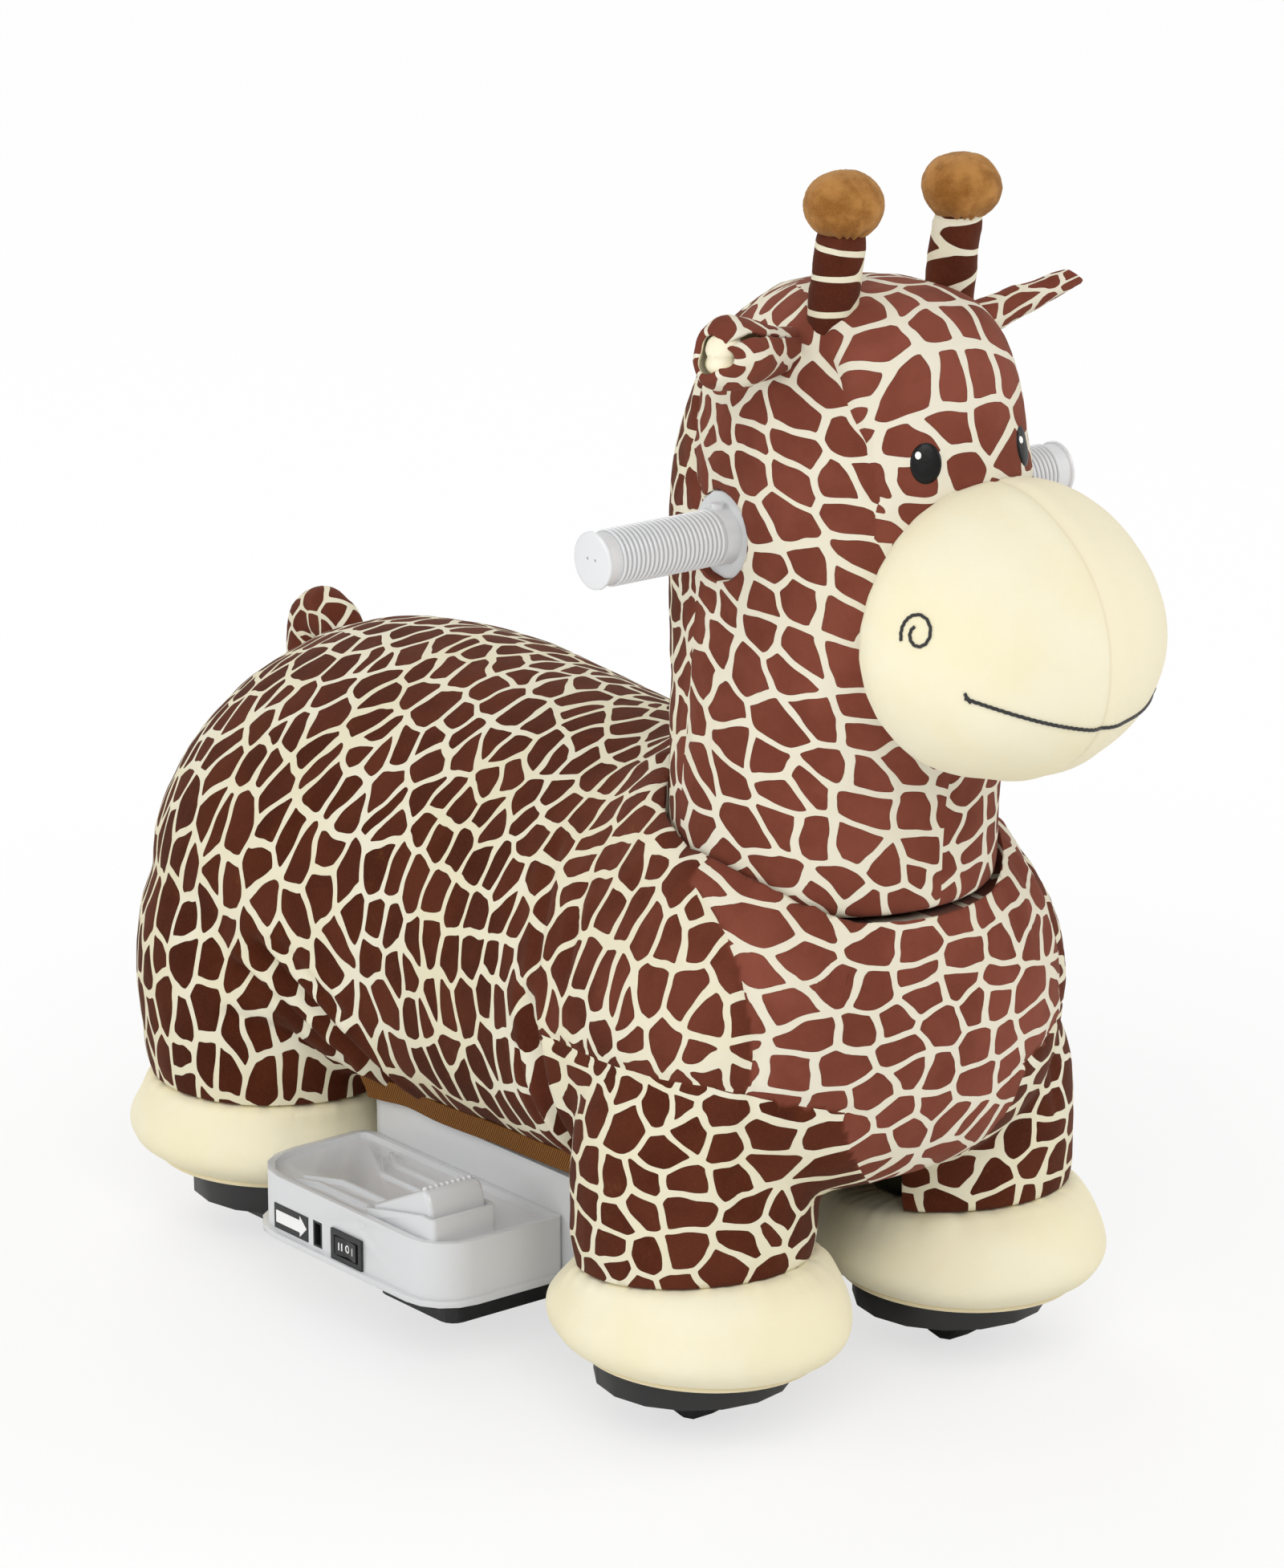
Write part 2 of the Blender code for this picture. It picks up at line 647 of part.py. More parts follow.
def make_steering_post():
    """Hollow post with a welded arm below and a sleeve for the handlebar above."""
    washer_top = BEAM_BOTTOM - GAP
    profile = ((0, BAR_Z), (POST_R, BAR_Z), (POST_R, washer_top), (POST_R + 0.0045, washer_top),
               (POST_R + 0.0045, washer_top - 0.004), (POST_R, washer_top - 0.005), (POST_R, washer_top - 0.012),
               (0, washer_top - 0.012))
    post = turned("steering_post", profile, "painted_frame", (0, STEER_Y, 0))
    line = wrap_circles([(0, 0, POST_R + 0.0035), (0, STEER_ARM_L, 0.0065)], 14)
    arm = plate("post_arm", line, STEER_ARM_T, None, (0, STEER_Y, ARM_Z + STEER_ARM_T / 2), FLAT, False)
    pin_top = TIE_ROD_Z + TIE_ROD_T + 0.0015
    pin = rod("post_pin", ARM_PIN_R, ARM_Z + 0.001, pin_top, None, (0, STEER_Y + STEER_ARM_L, 0), FLAT, 8, False)
    sleeve = rod("bar_sleeve", BAR_R + 0.0035, -0.030, 0.030, None, (0, STEER_Y, BAR_Z), TURN_TO_X, is_part=False)
    join(post, arm, pin, sleeve)
    inner = rod("post_inner", POST_R - POST_WALL, BEAM_BOTTOM - 0.03, BAR_Z, None, (0, STEER_Y, 0), FLAT, 16, False)
    hole = bore("bar_bore", BAR_R + GAP, -0.05, 0.05, (0, STEER_Y, BAR_Z), TURN_TO_X)
    return cut(post, inner, hole)


def make_handlebar():
    """Tube through the head, with a ribbed grip and a round flange on each side."""
    end = BAR_HALF - 0.008
    wall = 0.0015
    profile = [(BAR_R, end), (BAR_R, -end), (BAR_R - wall, -end), (BAR_R - wall, end)]
    turned("handlebar_tube", profile, "steel", (0, STEER_Y, BAR_Z), TURN_TO_X, ring=True)
    for label, side in SIDES:
        turn = (0, side * math.pi / 2, 0)
        top = BAR_HALF
        low = GRIP_INNER_X
        inside = BAR_R + GAP
        grip = [(0, top), (GRIP_END_R - 0.002, top), (GRIP_END_R, top - 0.001), (GRIP_END_R, top - 0.0026),
                (GRIP_COLLAR_R, top - 0.0030), (GRIP_COLLAR_R, top - 0.0112), (GRIP_R, top - 0.0118), (GRIP_R, low),
                (inside, low), (inside, top - 0.0075), (0, top - 0.0075)]
        turned("grip_" + label, grip, "grey_plastic", (0, STEER_Y, BAR_Z), turn)
        hub_end = GRIP_INNER_X - GAP
        flange = [(inside, hub_end), (GRIP_R + 0.0005, hub_end), (GRIP_R + 0.0005, FLANGE_X + FLANGE_T),
                  (FLANGE_R - 0.001, FLANGE_X + FLANGE_T), (FLANGE_R, FLANGE_X + FLANGE_T - 0.001),
                  (FLANGE_R, FLANGE_X), (inside, FLANGE_X)]
        disc = turned("bar_flange_" + label, flange, "grey_plastic", (0, STEER_Y, BAR_Z), turn, ring=True)
        middle = side * (FLANGE_X + FLANGE_T + hub_end) / 2
        boss = rod("boss_" + label, 0.0042, BAR_Z + BAR_R + 0.002, BAR_Z + GRIP_R + 0.003, None,
                   (middle, STEER_Y, 0), FLAT, 8, False)
        join(disc, boss)


def make_chassis():
    """Grey shell under the seat, open below, and the black base that closes it."""
    outline = rectangle(-CHASSIS_HALF_X, behind(CHASSIS_FRONT), CHASSIS_HALF_X, behind(CHASSIS_BACK), 0.018)
    shell = slab("chassis_shell", outline, CHASSIS_BOTTOM, CHASSIS_TOP, "grey_plastic")
    inside = slab("chassis_inside", grown(outline, -CHASSIS_WALL), CHASSIS_BOTTOM - 0.01, CHASSIS_TOP - CHASSIS_WALL,
                  None, False)
    cut(shell, inside)

    plate_top = CHASSIS_BOTTOM - GAP
    base = slab("base_cover", outline, plate_top - BASE_T, plate_top, "black_plastic")
    trough_line = rectangle(-TROUGH_HALF_X, behind(TROUGH_FRONT), TROUGH_HALF_X, behind(TROUGH_BACK), 0.010)
    trough = slab("trough", trough_line, TROUGH_BOTTOM, plate_top - GAP, None, False)
    room = slab("trough_room", grown(trough_line, -BASE_T), TROUGH_BOTTOM + BASE_T, plate_top + 0.01, None, False)
    join(base, trough)
    cut(base, room)

    floor_z = TROUGH_BOTTOM + BASE_T + GAP
    half = CHASSIS_HALF_X - CHASSIS_WALL - 0.0015
    front = behind(TROUGH_FRONT) + BASE_T + 0.001
    back = behind(TROUGH_BACK) - BASE_T - 0.001
    battery = box("battery", (-half, front, floor_z), (half, back, floor_z + 0.047), "battery_case", bevel=0.002)
    for label, x in (("a", -half * 0.8), ("b", half * 0.8)):
        tab = box("terminal_" + label, (x - 0.003, front + 0.010, floor_z + 0.046), (x + 0.003, front + 0.011, floor_z + 0.053),
                  None, False)
        join(battery, tab)


def make_seat_frame():
    """Moulded hump on the chassis deck that carries the rider under the plush."""
    low = CHASSIS_TOP + GAP
    height = SEAT_H
    half = SEAT_HALF_X
    front = behind(SEAT_FRONT)
    back = behind(SEAT_BACK)
    wall = 0.003
    corners = [(-half, low, 0.001), (half, low, 0.001), (half, low + height, 0.035), (-half, low + height, 0.035)]
    shell = plate("seat_frame", rounded(corners), back - front, "black_plastic", (0, (front + back) / 2, 0), STAND_XZ)
    room = plate("seat_room", rounded(grown(corners, -wall)), back - front - 2 * wall, None,
                 (0, (front + back) / 2, -wall - 0.001), STAND_XZ, False)
    room_low = box("seat_room_low", (wall - half, front + wall, low - 0.01), (half - wall, back - wall, low + 0.06), None, False)
    return cut(shell, room, room_low)


def make_control_board():
    """Drive electronics on four standoffs behind the battery."""
    plate_top = CHASSIS_BOTTOM - GAP
    x0, x1 = -0.040, 0.040
    y0, y1 = behind(CHASSIS_BACK - 0.078), behind(CHASSIS_BACK - 0.018)
    z = plate_top + 0.010
    board = box("control_board", (x0, y0, z), (x1, y1, z + 0.0016), "circuit_board")
    for i, (x, y) in enumerate(((x0 + 0.006, y0 + 0.006), (x1 - 0.006, y0 + 0.006), (x1 - 0.006, y1 - 0.006),
                                (x0 + 0.006, y1 - 0.006))):
        join(board, rod("standoff_%d" % i, 0.003, plate_top + GAP, z + 0.001, None, (x, y, 0), FLAT, 8, False))
    relay = box("relay", (-0.024, y0 + 0.020, z + 0.001), (-0.005, y0 + 0.036, z + 0.017), None, False)
    plug = box("plug_row", (0.004, y0 + 0.004, z + 0.001), (0.030, y0 + 0.012, z + 0.012), None, False)
    sink = box("heat_sink", (0.006, y0 + 0.030, z + 0.001), (0.028, y0 + 0.034, z + 0.021), None, False)
    return join(board, relay, plug, sink)


def footplate_corners(side):
    inner = CHASSIS_HALF_X + GAP
    corners = [(inner, behind(PLATE_FRONT), 0.004), (PLATE_OUT_X, behind(PLATE_FRONT), 0.028),
               (PLATE_OUT_X, behind(PLATE_BACK), 0.038), (inner, behind(PLATE_BACK), 0.011)]
    return [(side * x, y, r) for x, y, r in corners][::side]


def strip(points, width):
    """Outline of a bar of even width that follows a bent line."""
    half = width / 2
    left = []
    right = []
    for i, (x, y) in enumerate(points):
        ax, ay = points[max(i - 1, 0)]
        bx, by = points[min(i + 1, len(points) - 1)]
        length = math.hypot(bx - ax, by - ay)
        nx, ny = (ay - by) / length, (bx - ax) / length
        left.append((x + nx * half, y + ny * half))
        right.append((x - nx * half, y - ny * half))
    return left + right[::-1]


def make_footplate(label, side):
    """Hollow footrest with a rim, a sunk tray and chevron tread bars."""
    corners = footplate_corners(side)
    obj = slab("footplate_" + label, corners, PLATE_BOTTOM, PLATE_TOP, "grey_plastic")
    inner = CHASSIS_HALF_X + GAP
    lip_corners = []
    for x, y, radius in corners:
        at_wall = abs(abs(x) - inner) < 1e-6
        out_x = x if at_wall else x + side * LIP_OUT
        out_y = y + math.copysign(LIP_OUT, y - behind((PLATE_FRONT + PLATE_BACK) / 2))
        lip_corners.append((out_x, out_y, radius + LIP_OUT))
    join(obj, slab("lip_" + label, lip_corners, PLATE_BOTTOM, PLATE_BOTTOM + LIP_H, None, False))
    cut(obj, slab("hollow_" + label, grown(corners, -PLATE_WALL), PLATE_BOTTOM - 0.01, TRAY_Z - PLATE_WALL, None, False))
    cut(obj, slab("tray_" + label, grown(corners, -PLATE_RIM), TRAY_Z, PLATE_TOP + 0.01, None, False))

    turn_y = behind(PLATE_BACK - 0.069)
    front_y = behind(PLATE_FRONT + PLATE_RIM + 0.012)
    start_y = front_y if side > 0 else behind(PEDAL_BACK + 0.012)
    bars = []
    for inset, lean in ((0.0755, -0.009), (0.0595, -0.017), (0.0315, 0.014), (0.0175, 0.008)):
        x = PLATE_OUT_X - inset
        reach = turn_y + 0.018 - abs(lean)
        bars.append([(x, start_y), (x, reach), (x + lean, reach + 1.2 * abs(lean) + 0.006)])
    for i, points in enumerate(bars):
        line = strip([(side * x, y) for x, y in points], RIB_W)
        height = RIB_H + 0.001
        bar = plate("tread_%s%d" % (label, i), line, height, None, (0, 0, TRAY_Z - 0.001 + height / 2), FLAT, False)
        join(obj, bar)
    return obj


def make_pedal():
    """Accelerator in the right footplate: well, collar, ribbed pedal, spring and microswitch."""
    obj = bpy.data.objects["footplate_right"]
    out = -(PEDAL_OUT_X + PEDAL_PLAY + COLLAR_WALL)
    inn = -(PEDAL_IN_X - PEDAL_PLAY - COLLAR_WALL)
    front = behind(PEDAL_FRONT) - PEDAL_PLAY - COLLAR_WALL
    back = behind(PEDAL_BACK) + PEDAL_PLAY + COLLAR_WALL
    well_low = TRAY_Z - 0.0095
    collar_top = PLATE_TOP + COLLAR_H
    well_line = rectangle(out, front, inn, back, COLLAR_WALL + 0.001)
    collar = slab("collar", well_line, well_low, collar_top, None, False)
    ramp = [(front - 0.01, collar_top), (front + 0.012, collar_top), (back + 0.01, PLATE_TOP - 0.0005),
            (back + 0.01, collar_top + 0.01), (front - 0.01, collar_top + 0.01)]
    cut(collar, plate("collar_ramp", ramp, 0.1, None, ((out + inn) / 2, 0, 0), STAND_YZ, False))
    join(obj, collar)
    room = slab("well_room", grown(well_line, -COLLAR_WALL), well_low + COLLAR_WALL, collar_top + 0.02, None, False)
    cut(obj, room)
    hinge_y = behind(PEDAL_BACK - 0.0045)
    hinge_z = well_low + COLLAR_WALL + 0.0045
    middle = (out + inn) / 2
    half_well = (inn - out) / 2
    hole = bore("hinge_hole", PIN_R - 0.0005 + GAP, -half_well - 0.01, half_well + 0.01,
                (middle, hinge_y, hinge_z), TURN_TO_X, 12)
    cut(obj, hole)

    y0 = behind(PEDAL_FRONT)
    y1 = behind(PEDAL_BACK)
    toe_drop = (hinge_y - y0) * math.tan(math.radians(PEDAL_TRAVEL))
    skirt_z = well_low + COLLAR_WALL + toe_drop + 0.0072
    ridge = (y0 + PEDAL_LEAN, PEDAL_RIDGE_Z)
    side_line = [(y0, skirt_z), (y1, hinge_z - 0.0005), (y1, PEDAL_HEEL_Z - 0.003), (y1 - 0.002, PEDAL_HEEL_Z),
                 (ridge[0] + 0.002, ridge[1]), (ridge[0], ridge[1] - 0.0015)]
    width = PEDAL_OUT_X - PEDAL_IN_X
    wall = 0.0025
    pedal_x = -(PEDAL_OUT_X + PEDAL_IN_X) / 2
    pedal = plate("pedal", side_line, width, "grey_plastic", (pedal_x, 0, 0), STAND_YZ)
    under = [(y0 + wall, skirt_z - 0.004), (y1 - wall, hinge_z - 0.004), (y1 - wall, PEDAL_HEEL_Z - wall - 0.002),
             (ridge[0] + wall, ridge[1] - wall - 0.002)]
    cut(pedal, plate("pedal_under", under, width - 2 * wall, None, (pedal_x, 0, 0), STAND_YZ, False))
    pin_half = half_well + 0.0001
    join(pedal, rod("pedal_pin", PIN_R - 0.0005, -pin_half, pin_half, None, (middle, hinge_y, hinge_z), TURN_TO_X, 12, False))

    slope = math.atan2(PEDAL_RIDGE_Z - PEDAL_HEEL_Z, y1 - 0.002 - ridge[0] - 0.002)
    rib_line = [(ridge[0] + 0.0005, ridge[1] + 0.0014), (y1 - 0.010, PEDAL_HEEL_Z + 0.008 * math.tan(slope) - 0.0004),
                (ridge[0] + 0.004, ridge[1] - 0.0032), (ridge[0] - 0.0008, ridge[1] - 0.0012)]
    spacing = (width - 0.006) / (TOOTH_COUNT - 1)
    for i in range(TOOTH_COUNT):
        x = pedal_x - (width - 0.006) / 2 + i * spacing
        join(pedal, plate("tooth_%d" % i, rib_line, spacing * 0.45, None, (x, 0, 0), STAND_YZ, False))

    spring_y = y0 + 0.016
    spring_top = well_low + COLLAR_WALL + 0.019
    post_top = ridge[1] - (spring_y - ridge[0] - 0.002) * math.tan(slope) - 0.001
    join(pedal, rod("spring_boss", 0.0052, spring_top + GAP, post_top, None, (pedal_x, spring_y, 0), FLAT, 8, False))
    make_spring("pedal_spring", 0.0042, 0.0005, well_low + COLLAR_WALL + GAP, spring_top, 4, (pedal_x, spring_y))
    carry("pedal_joint", (pedal_x, hinge_y, hinge_z), ["pedal"])
    return pedal


def make_spring(name, radius, wire_r, low, high, turns, centre):
    """Compression spring as one round wire."""
    data = bpy.data.curves.new(name, "CURVE")
    data.dimensions = "3D"
    data.bevel_depth = wire_r
    data.bevel_resolution = 1
    data.use_fill_caps = True
    count = turns * 7
    spline = data.splines.new("POLY")
    spline.points.add(count)
    for i, point in enumerate(spline.points):
        angle = 2 * math.pi * turns * i / count
        z = low + wire_r + (high - low - 2 * wire_r) * i / count
        point.co = (radius * math.cos(angle), radius * math.sin(angle), z, 1)
    obj = bpy.data.objects.new(name, data)
    obj.location = (centre[0], centre[1], 0)
    return register(obj, "steel")


def make_wall_parts():
    """Charging socket and drive switch set into the right footplate's outer wall."""
    plate_obj = bpy.data.objects["footplate_right"]
    wall_x = -PLATE_OUT_X
    y = behind(SOCKET_Y)
    half_w = SOCKET_W / 2
    half_h = SOCKET_H / 2
    z = WALL_PART_Z
    opening = box("socket_opening", (wall_x - 0.01, y - half_w - GAP, z - half_h - GAP),
                  (wall_x + 0.01, y + half_w + GAP, z + half_h + GAP), None, False)
    cut(plate_obj, opening)
    socket = box("charge_socket", (wall_x, y - half_w, z - half_h), (wall_x + SOCKET_DEPTH, y + half_w, z + half_h),
                 "black_plastic")
    back_rim = box("socket_back", (wall_x + PLATE_WALL + GAP, y - half_w - 0.0015, z - half_h - 0.0015),
                   (wall_x + SOCKET_DEPTH, y + half_w + 0.0015, z + half_h + 0.0015), None, False)
    join(socket, back_rim)
    well = box("socket_well", (wall_x - 0.01, y - half_w + 0.0012, z - half_h + 0.0012),
               (wall_x + SOCKET_DEPTH - 0.002, y + half_w - 0.0012, z + half_h - 0.0012), None, False)
    cut(socket, well)
    pin = box("socket_pin", (wall_x + 0.0047, y - 0.0008, z - 0.004), (wall_x + SOCKET_DEPTH - 0.001, y + 0.0008, z + 0.004),
              None, False)
    join(socket, pin)

    y = behind(SWITCH_Y)
    half_w = SWITCH_W / 2
    half_h = SWITCH_H / 2
    opening = box("switch_opening", (wall_x - 0.01, y - half_w + 0.002 - GAP, z - half_h + 0.002 - GAP),
                  (wall_x + 0.01, y + half_w - 0.002 + GAP, z + half_h - 0.002 + GAP), None, False)
    cut(plate_obj, opening)
    bezel = box("switch_bezel", (wall_x - 0.0018, y - half_w, z - half_h), (wall_x - GAP, y + half_w, z + half_h),
                "black_plastic")
    body = box("switch_body", (wall_x - 0.001, y - half_w + 0.002, z - half_h + 0.002),
               (wall_x + 0.016, y + half_w - 0.002, z + half_h - 0.002), None, False)
    join(bezel, body)
    room = box("switch_room", (wall_x - 0.01, y - half_w + 0.0035, z - half_h + 0.0035),
               (wall_x + 0.0135, y + half_w - 0.0035, z + half_h - 0.0035), None, False)
    cut(bezel, room)
    axis_x = wall_x + 0.0065
    rocker_r = half_w - 0.0035 - 2 * GAP
    face = wall_x - 0.0012
    tip = math.radians(SWITCH_TILT)
    reach = rocker_r - 0.0012
    nose = face + 0.0005 - reach * math.tan(tip)
    line = [(axis_x, y + 0.004), (axis_x - 0.001, y + 0.006), (wall_x + 0.001, y + reach), (nose, y + reach),
            (face + 0.0005, y), (nose, y - reach), (wall_x + 0.001, y - reach), (axis_x - 0.001, y - 0.006),
            (axis_x, y - 0.004), (axis_x + 0.003, y)]
    rocker = plate("rocker_button", line, SWITCH_H - 0.007 - 4 * GAP, "black_plastic", (0, 0, z))
    pivot = rod("rocker_pivot", 0.0015, -half_h + 0.0030, half_h - 0.0030, None, (axis_x, y, z), FLAT, 10, False)
    hole = bore("rocker_hole", 0.0015 + GAP, -half_h + 0.0026, half_h - 0.0026, (axis_x, y, z), FLAT, 10)
    join(rocker, pivot)
    cut(bezel, hole)
    carry("rocker_joint", (axis_x, y, z), ["rocker_button"])
    return rocker


def gear_heights():
    """Heights of the output, reduction and motor shafts."""
    output = WHEEL_R
    reduction = output + (OUTPUT_TEETH + SMALL_TEETH) * GEAR_MODULE / 2
    pinion = reduction + (LARGE_TEETH + PINION_TEETH) * GEAR_MODULE / 2
    return output, reduction, pinion


def gearbox_circles(inset):
    output, reduction, pinion = gear_heights()
    return [(0, output, OUTPUT_TEETH * GEAR_MODULE / 2 + 0.0045 - inset),
            (0, reduction, LARGE_TEETH * GEAR_MODULE / 2 + 0.0045 - inset),
            (0, pinion, PINION_TEETH * GEAR_MODULE / 2 + 0.0045 - inset)]


def gear_planes():
    """Near faces of the case, its inside, the two gear layers and the cover."""
    case = CHEEK_IN + BRACKET_SHEET + GAP
    inside = case + GEARBOX_WALL
    first = inside + 0.0007
    second = first + GEAR_A_W + 0.001
    cover = second + GEAR_B_W + 0.001
    return case, inside, first, second, cover


def make_rear_bracket(label, side, driven):
    """Inverted U of sheet steel round a rear wheel, with a round flange on the dish."""
    x = side * TRACK / 2
    low = WHEEL_R - 0.0085
    top = CHASSIS_TOP
    sheet = BRACKET_SHEET
    line = [(-CHEEK_OUT - sheet, low), (-CHEEK_OUT, low), (-CHEEK_OUT, top - sheet), (CHEEK_IN, top - sheet),
            (CHEEK_IN, low), (CHEEK_IN + sheet, low), (CHEEK_IN + sheet, top), (-CHEEK_OUT - sheet, top)]
    line = [(-side * px, pz) for px, pz in line]
    name = "rear_bracket_" + label
    bracket = plate(name, line, 2 * BRACKET_HALF_Y, "painted_frame", (x, REAR_Y, 0), STAND_XZ)
    flange_z = CUP_TOP + GAP
    flange = rod("flange_" + label, CUP_R - 0.0125, flange_z, flange_z + sheet, None, (x, REAR_Y, 0), FLAT, 16, False)
    x0, x1 = span(beside(side, -CHEEK_OUT), beside(side, CHEEK_IN))
    window = box("window_" + label, (x0, REAR_Y - 0.0185, 0.05), (x1, REAR_Y + 0.0185, 0.07), None, False)
    cut(flange, window)
    case, inside, first, second, cover = gear_planes()
    if driven:
        x0, x1 = span(beside(side, CHEEK_IN + 0.001), beside(side, cover + GEARBOX_WALL + 0.0008))
        gate = box("gate_" + label, (x0, REAR_Y - 0.0160, 0.05), (x1, REAR_Y + 0.0160, 0.07), None, False)
        cut(flange, gate)
    join(bracket, flange)
    x0, x1 = span(beside(side, -CHEEK_OUT - 0.001), beside(side, 0.0016 - CHEEK_IN))
    boss = rod("axle_boss_" + label, 0.0075, x0 - x, x1 - x, None, (x, REAR_Y, WHEEL_R), TURN_TO_X, 10, False)
    join(bracket, boss)
    hole = bore("axle_hole_" + label, AXLE_R + GAP, -0.06, 0.06, (x, REAR_Y, WHEEL_R), TURN_TO_X, 12)
    cut(bracket, hole)
    if driven:
        pinion = gear_heights()[2]
        place = (beside(side, CHEEK_IN + sheet / 2), REAR_Y, pinion)
        cut(bracket, bore("motor_hole_" + label, 0.0045 + GAP, -sheet, sheet, place, TURN_TO_X, 12))
    return bracket


def make_axle(name, x_out, x_in):
    """Plain axle with a head on its outer end."""
    side = 1 if x_out > x_in else -1
    head = x_out
    turn = (0, side * math.pi / 2, 0)
    profile = [(0, side * head), (0.0048, side * head), (0.0052, side * head - 0.0008), (0.0052, side * head - 0.0022),
               (AXLE_R, side * head - 0.0022), (AXLE_R, side * x_in), (0, side * x_in)]
    return turned(name, profile, "steel", (0, REAR_Y, WHEEL_R), turn, 14)


def make_gear(name, teeth, phase, x, z, width, finish, is_part=True):
    return plate(name, gear_outline(teeth, phase), width, finish, (x, REAR_Y, z), STAND_YZ, is_part)


def make_drive():
    """Motor, pinion, reduction gear, output gear, case and cover beside the right rear wheel."""
    side = -1
    output, reduction, pinion = gear_heights()
    case, inside, first, second, cover = gear_planes()
    mid_a = beside(side, first + GEAR_A_W / 2)
    mid_b = beside(side, second + GEAR_B_W / 2)

    def level(name, a, b, outline, finish, is_part=True):
        x0, x1 = span(beside(side, a), beside(side, b))
        return plate(name, outline, x1 - x0, finish, ((x0 + x1) / 2, REAR_Y, 0), STAND_YZ, is_part)

    def shaft(name, radius, a, b, z, finish=None, is_part=False, steps=12):
        x0, x1 = span(beside(side, a), beside(side, b))
        return rod(name, radius, x0, x1, finish, (0, REAR_Y, z), TURN_TO_X, steps, is_part)

    def hole(name, radius, a, b, z):
        return shaft(name, radius / math.cos(math.pi / 12), a, b, z)

    body = level("gearbox_case", case, cover, wrap_circles(gearbox_circles(0), 16), "black_plastic")
    pocket = level("gear_pocket", inside, cover + 0.01, wrap_circles(gearbox_circles(GEARBOX_WALL), 16), None, False)
    stud = shaft("gear_stud", 0.0022, case + 0.001, cover - GAP, reduction)
    cut(body, pocket)
    join(body, stud)
    cut(body, hole("case_axle_hole", AXLE_R + GAP, case - 0.01, inside + 0.001, output),
        hole("case_motor_hole", 0.0045 + GAP, case - 0.01, inside + 0.001, pinion))
    level("gearbox_cover", cover + GAP, cover + GEARBOX_WALL, wrap_circles(gearbox_circles(0), 16), "black_plastic")

    axle = make_axle("drive_axle", -(TRACK / 2 + CHEEK_OUT + BRACKET_SHEET + 0.0030), beside(side, first + GEAR_A_W))
    wheel_gear = make_gear("output_gear", OUTPUT_TEETH, 90, mid_a, output, GEAR_A_W, None, False)
    join(axle, wheel_gear)

    small_phase = -90 + 180 / SMALL_TEETH
    gear = make_gear("reduction_gear", LARGE_TEETH, 90, mid_b, reduction, GEAR_B_W, "acetal")
    small_end = second + 0.0005
    small = make_gear("small_teeth", SMALL_TEETH, small_phase, beside(side, (first + small_end) / 2), reduction,
                      small_end - first, None, False)
    join(gear, small)
    cut(gear, hole("stud_hole", 0.0022 + GAP, case, cover + 0.01, reduction))

    motor_pinion = make_gear("motor_pinion", PINION_TEETH, -90 + 180 / PINION_TEETH, mid_b, pinion, GEAR_B_W, "steel")
    join(motor_pinion, shaft("pinion_shaft", 0.0015, case - 0.002, second + GEAR_B_W - 0.001, pinion, steps=10))

    motor_low = MOTOR_L - CHEEK_IN + GAP
    motor = shaft("gear_motor", MOTOR_R, -motor_low, CHEEK_IN - GAP, pinion, "steel", True, 20)
    join(motor, shaft("motor_boss", 0.0045, CHEEK_IN - 0.002, inside, pinion))
    cut(motor, hole("motor_bore", 0.0015 + GAP, case - 0.003, inside + 0.01, pinion))

    carry("drive_joint", (-TRACK / 2, REAR_Y, output), ["drive_axle", "wheel_rear_right"])
    carry("reduction_joint", (mid_b, REAR_Y, reduction), ["reduction_gear"])
    carry("pinion_joint", (mid_b, REAR_Y, pinion), ["motor_pinion"])


def make_rear_frame():
    """Pressed tray across both rear brackets with a neck onto the chassis deck."""
    sheet = 0.003
    z0 = REAR_PLATE_Z
    z1 = z0 + REAR_PLATE_T
    half_y = 0.028
    end_x = TRACK / 2 + CHEEK_OUT + BRACKET_SHEET
    beam_line = rectangle(-end_x, REAR_Y - half_y, end_x, REAR_Y + half_y, 0.008)
    neck_line = rectangle(-0.050, behind(CHASSIS_BACK - 0.038), 0.050, REAR_Y - half_y + 0.012, 0.006)
    frame = slab("rear_frame", beam_line, z0, z1, "painted_frame", segments=2)
    join(frame, slab("neck_plate", neck_line, z0, z1, None, False, 2))
    cut(frame, slab("beam_tray", grown(beam_line, -sheet), z0 + sheet, z1 + 0.01, None, False, 2))
    cut(frame, slab("neck_tray", grown(neck_line, -sheet), z0 + sheet, z1 + 0.01, None, False, 2))
    return frame


def make_running_gear():
    case, inside, first, second, cover = gear_planes()
    for label, side in SIDES:
        make_front_leg(label, side)
        make_rear_cup(label, side)
        make_fork(label, side)
        make_steering_arm(label, side)
        make_wheel("wheel_front_" + label, side * TRACK / 2, STEER_Y, PIN_R + GAP)
        make_wheel("wheel_rear_" + label, side * TRACK / 2, REAR_Y, AXLE_R + GAP)
        make_rear_bracket(label, side, label == "right")
    make_axle("axle_rear_left", TRACK / 2 + CHEEK_OUT + BRACKET_SHEET + 0.0030, beside(1, CHEEK_IN + BRACKET_SHEET + 0.002))
    make_drive()
    make_tie_rod()
    for label, side in SIDES:
        x = side * TRACK / 2
        carry("fork_joint_" + label, (x, STEER_Y, WHEEL_R), ["fork_front_" + label, "steering_arm_" + label])
        carry("front_wheel_joint_" + label, (x, STEER_Y, WHEEL_R), ["wheel_front_" + label])
    carry("rear_wheel_joint_left", (TRACK / 2, REAR_Y, WHEEL_R), ["wheel_rear_left"])
    carry("tie_rod_joint", (0, STEER_Y + STEER_ARM_L, TIE_ROD_Z), ["tie_rod"])


# Soft forms: rings of (place, ring middle, half-sizes), in metres from the steering post

BODY_COUNT = 10
HEAD_COUNT = 10
LIMB_COUNT = 8


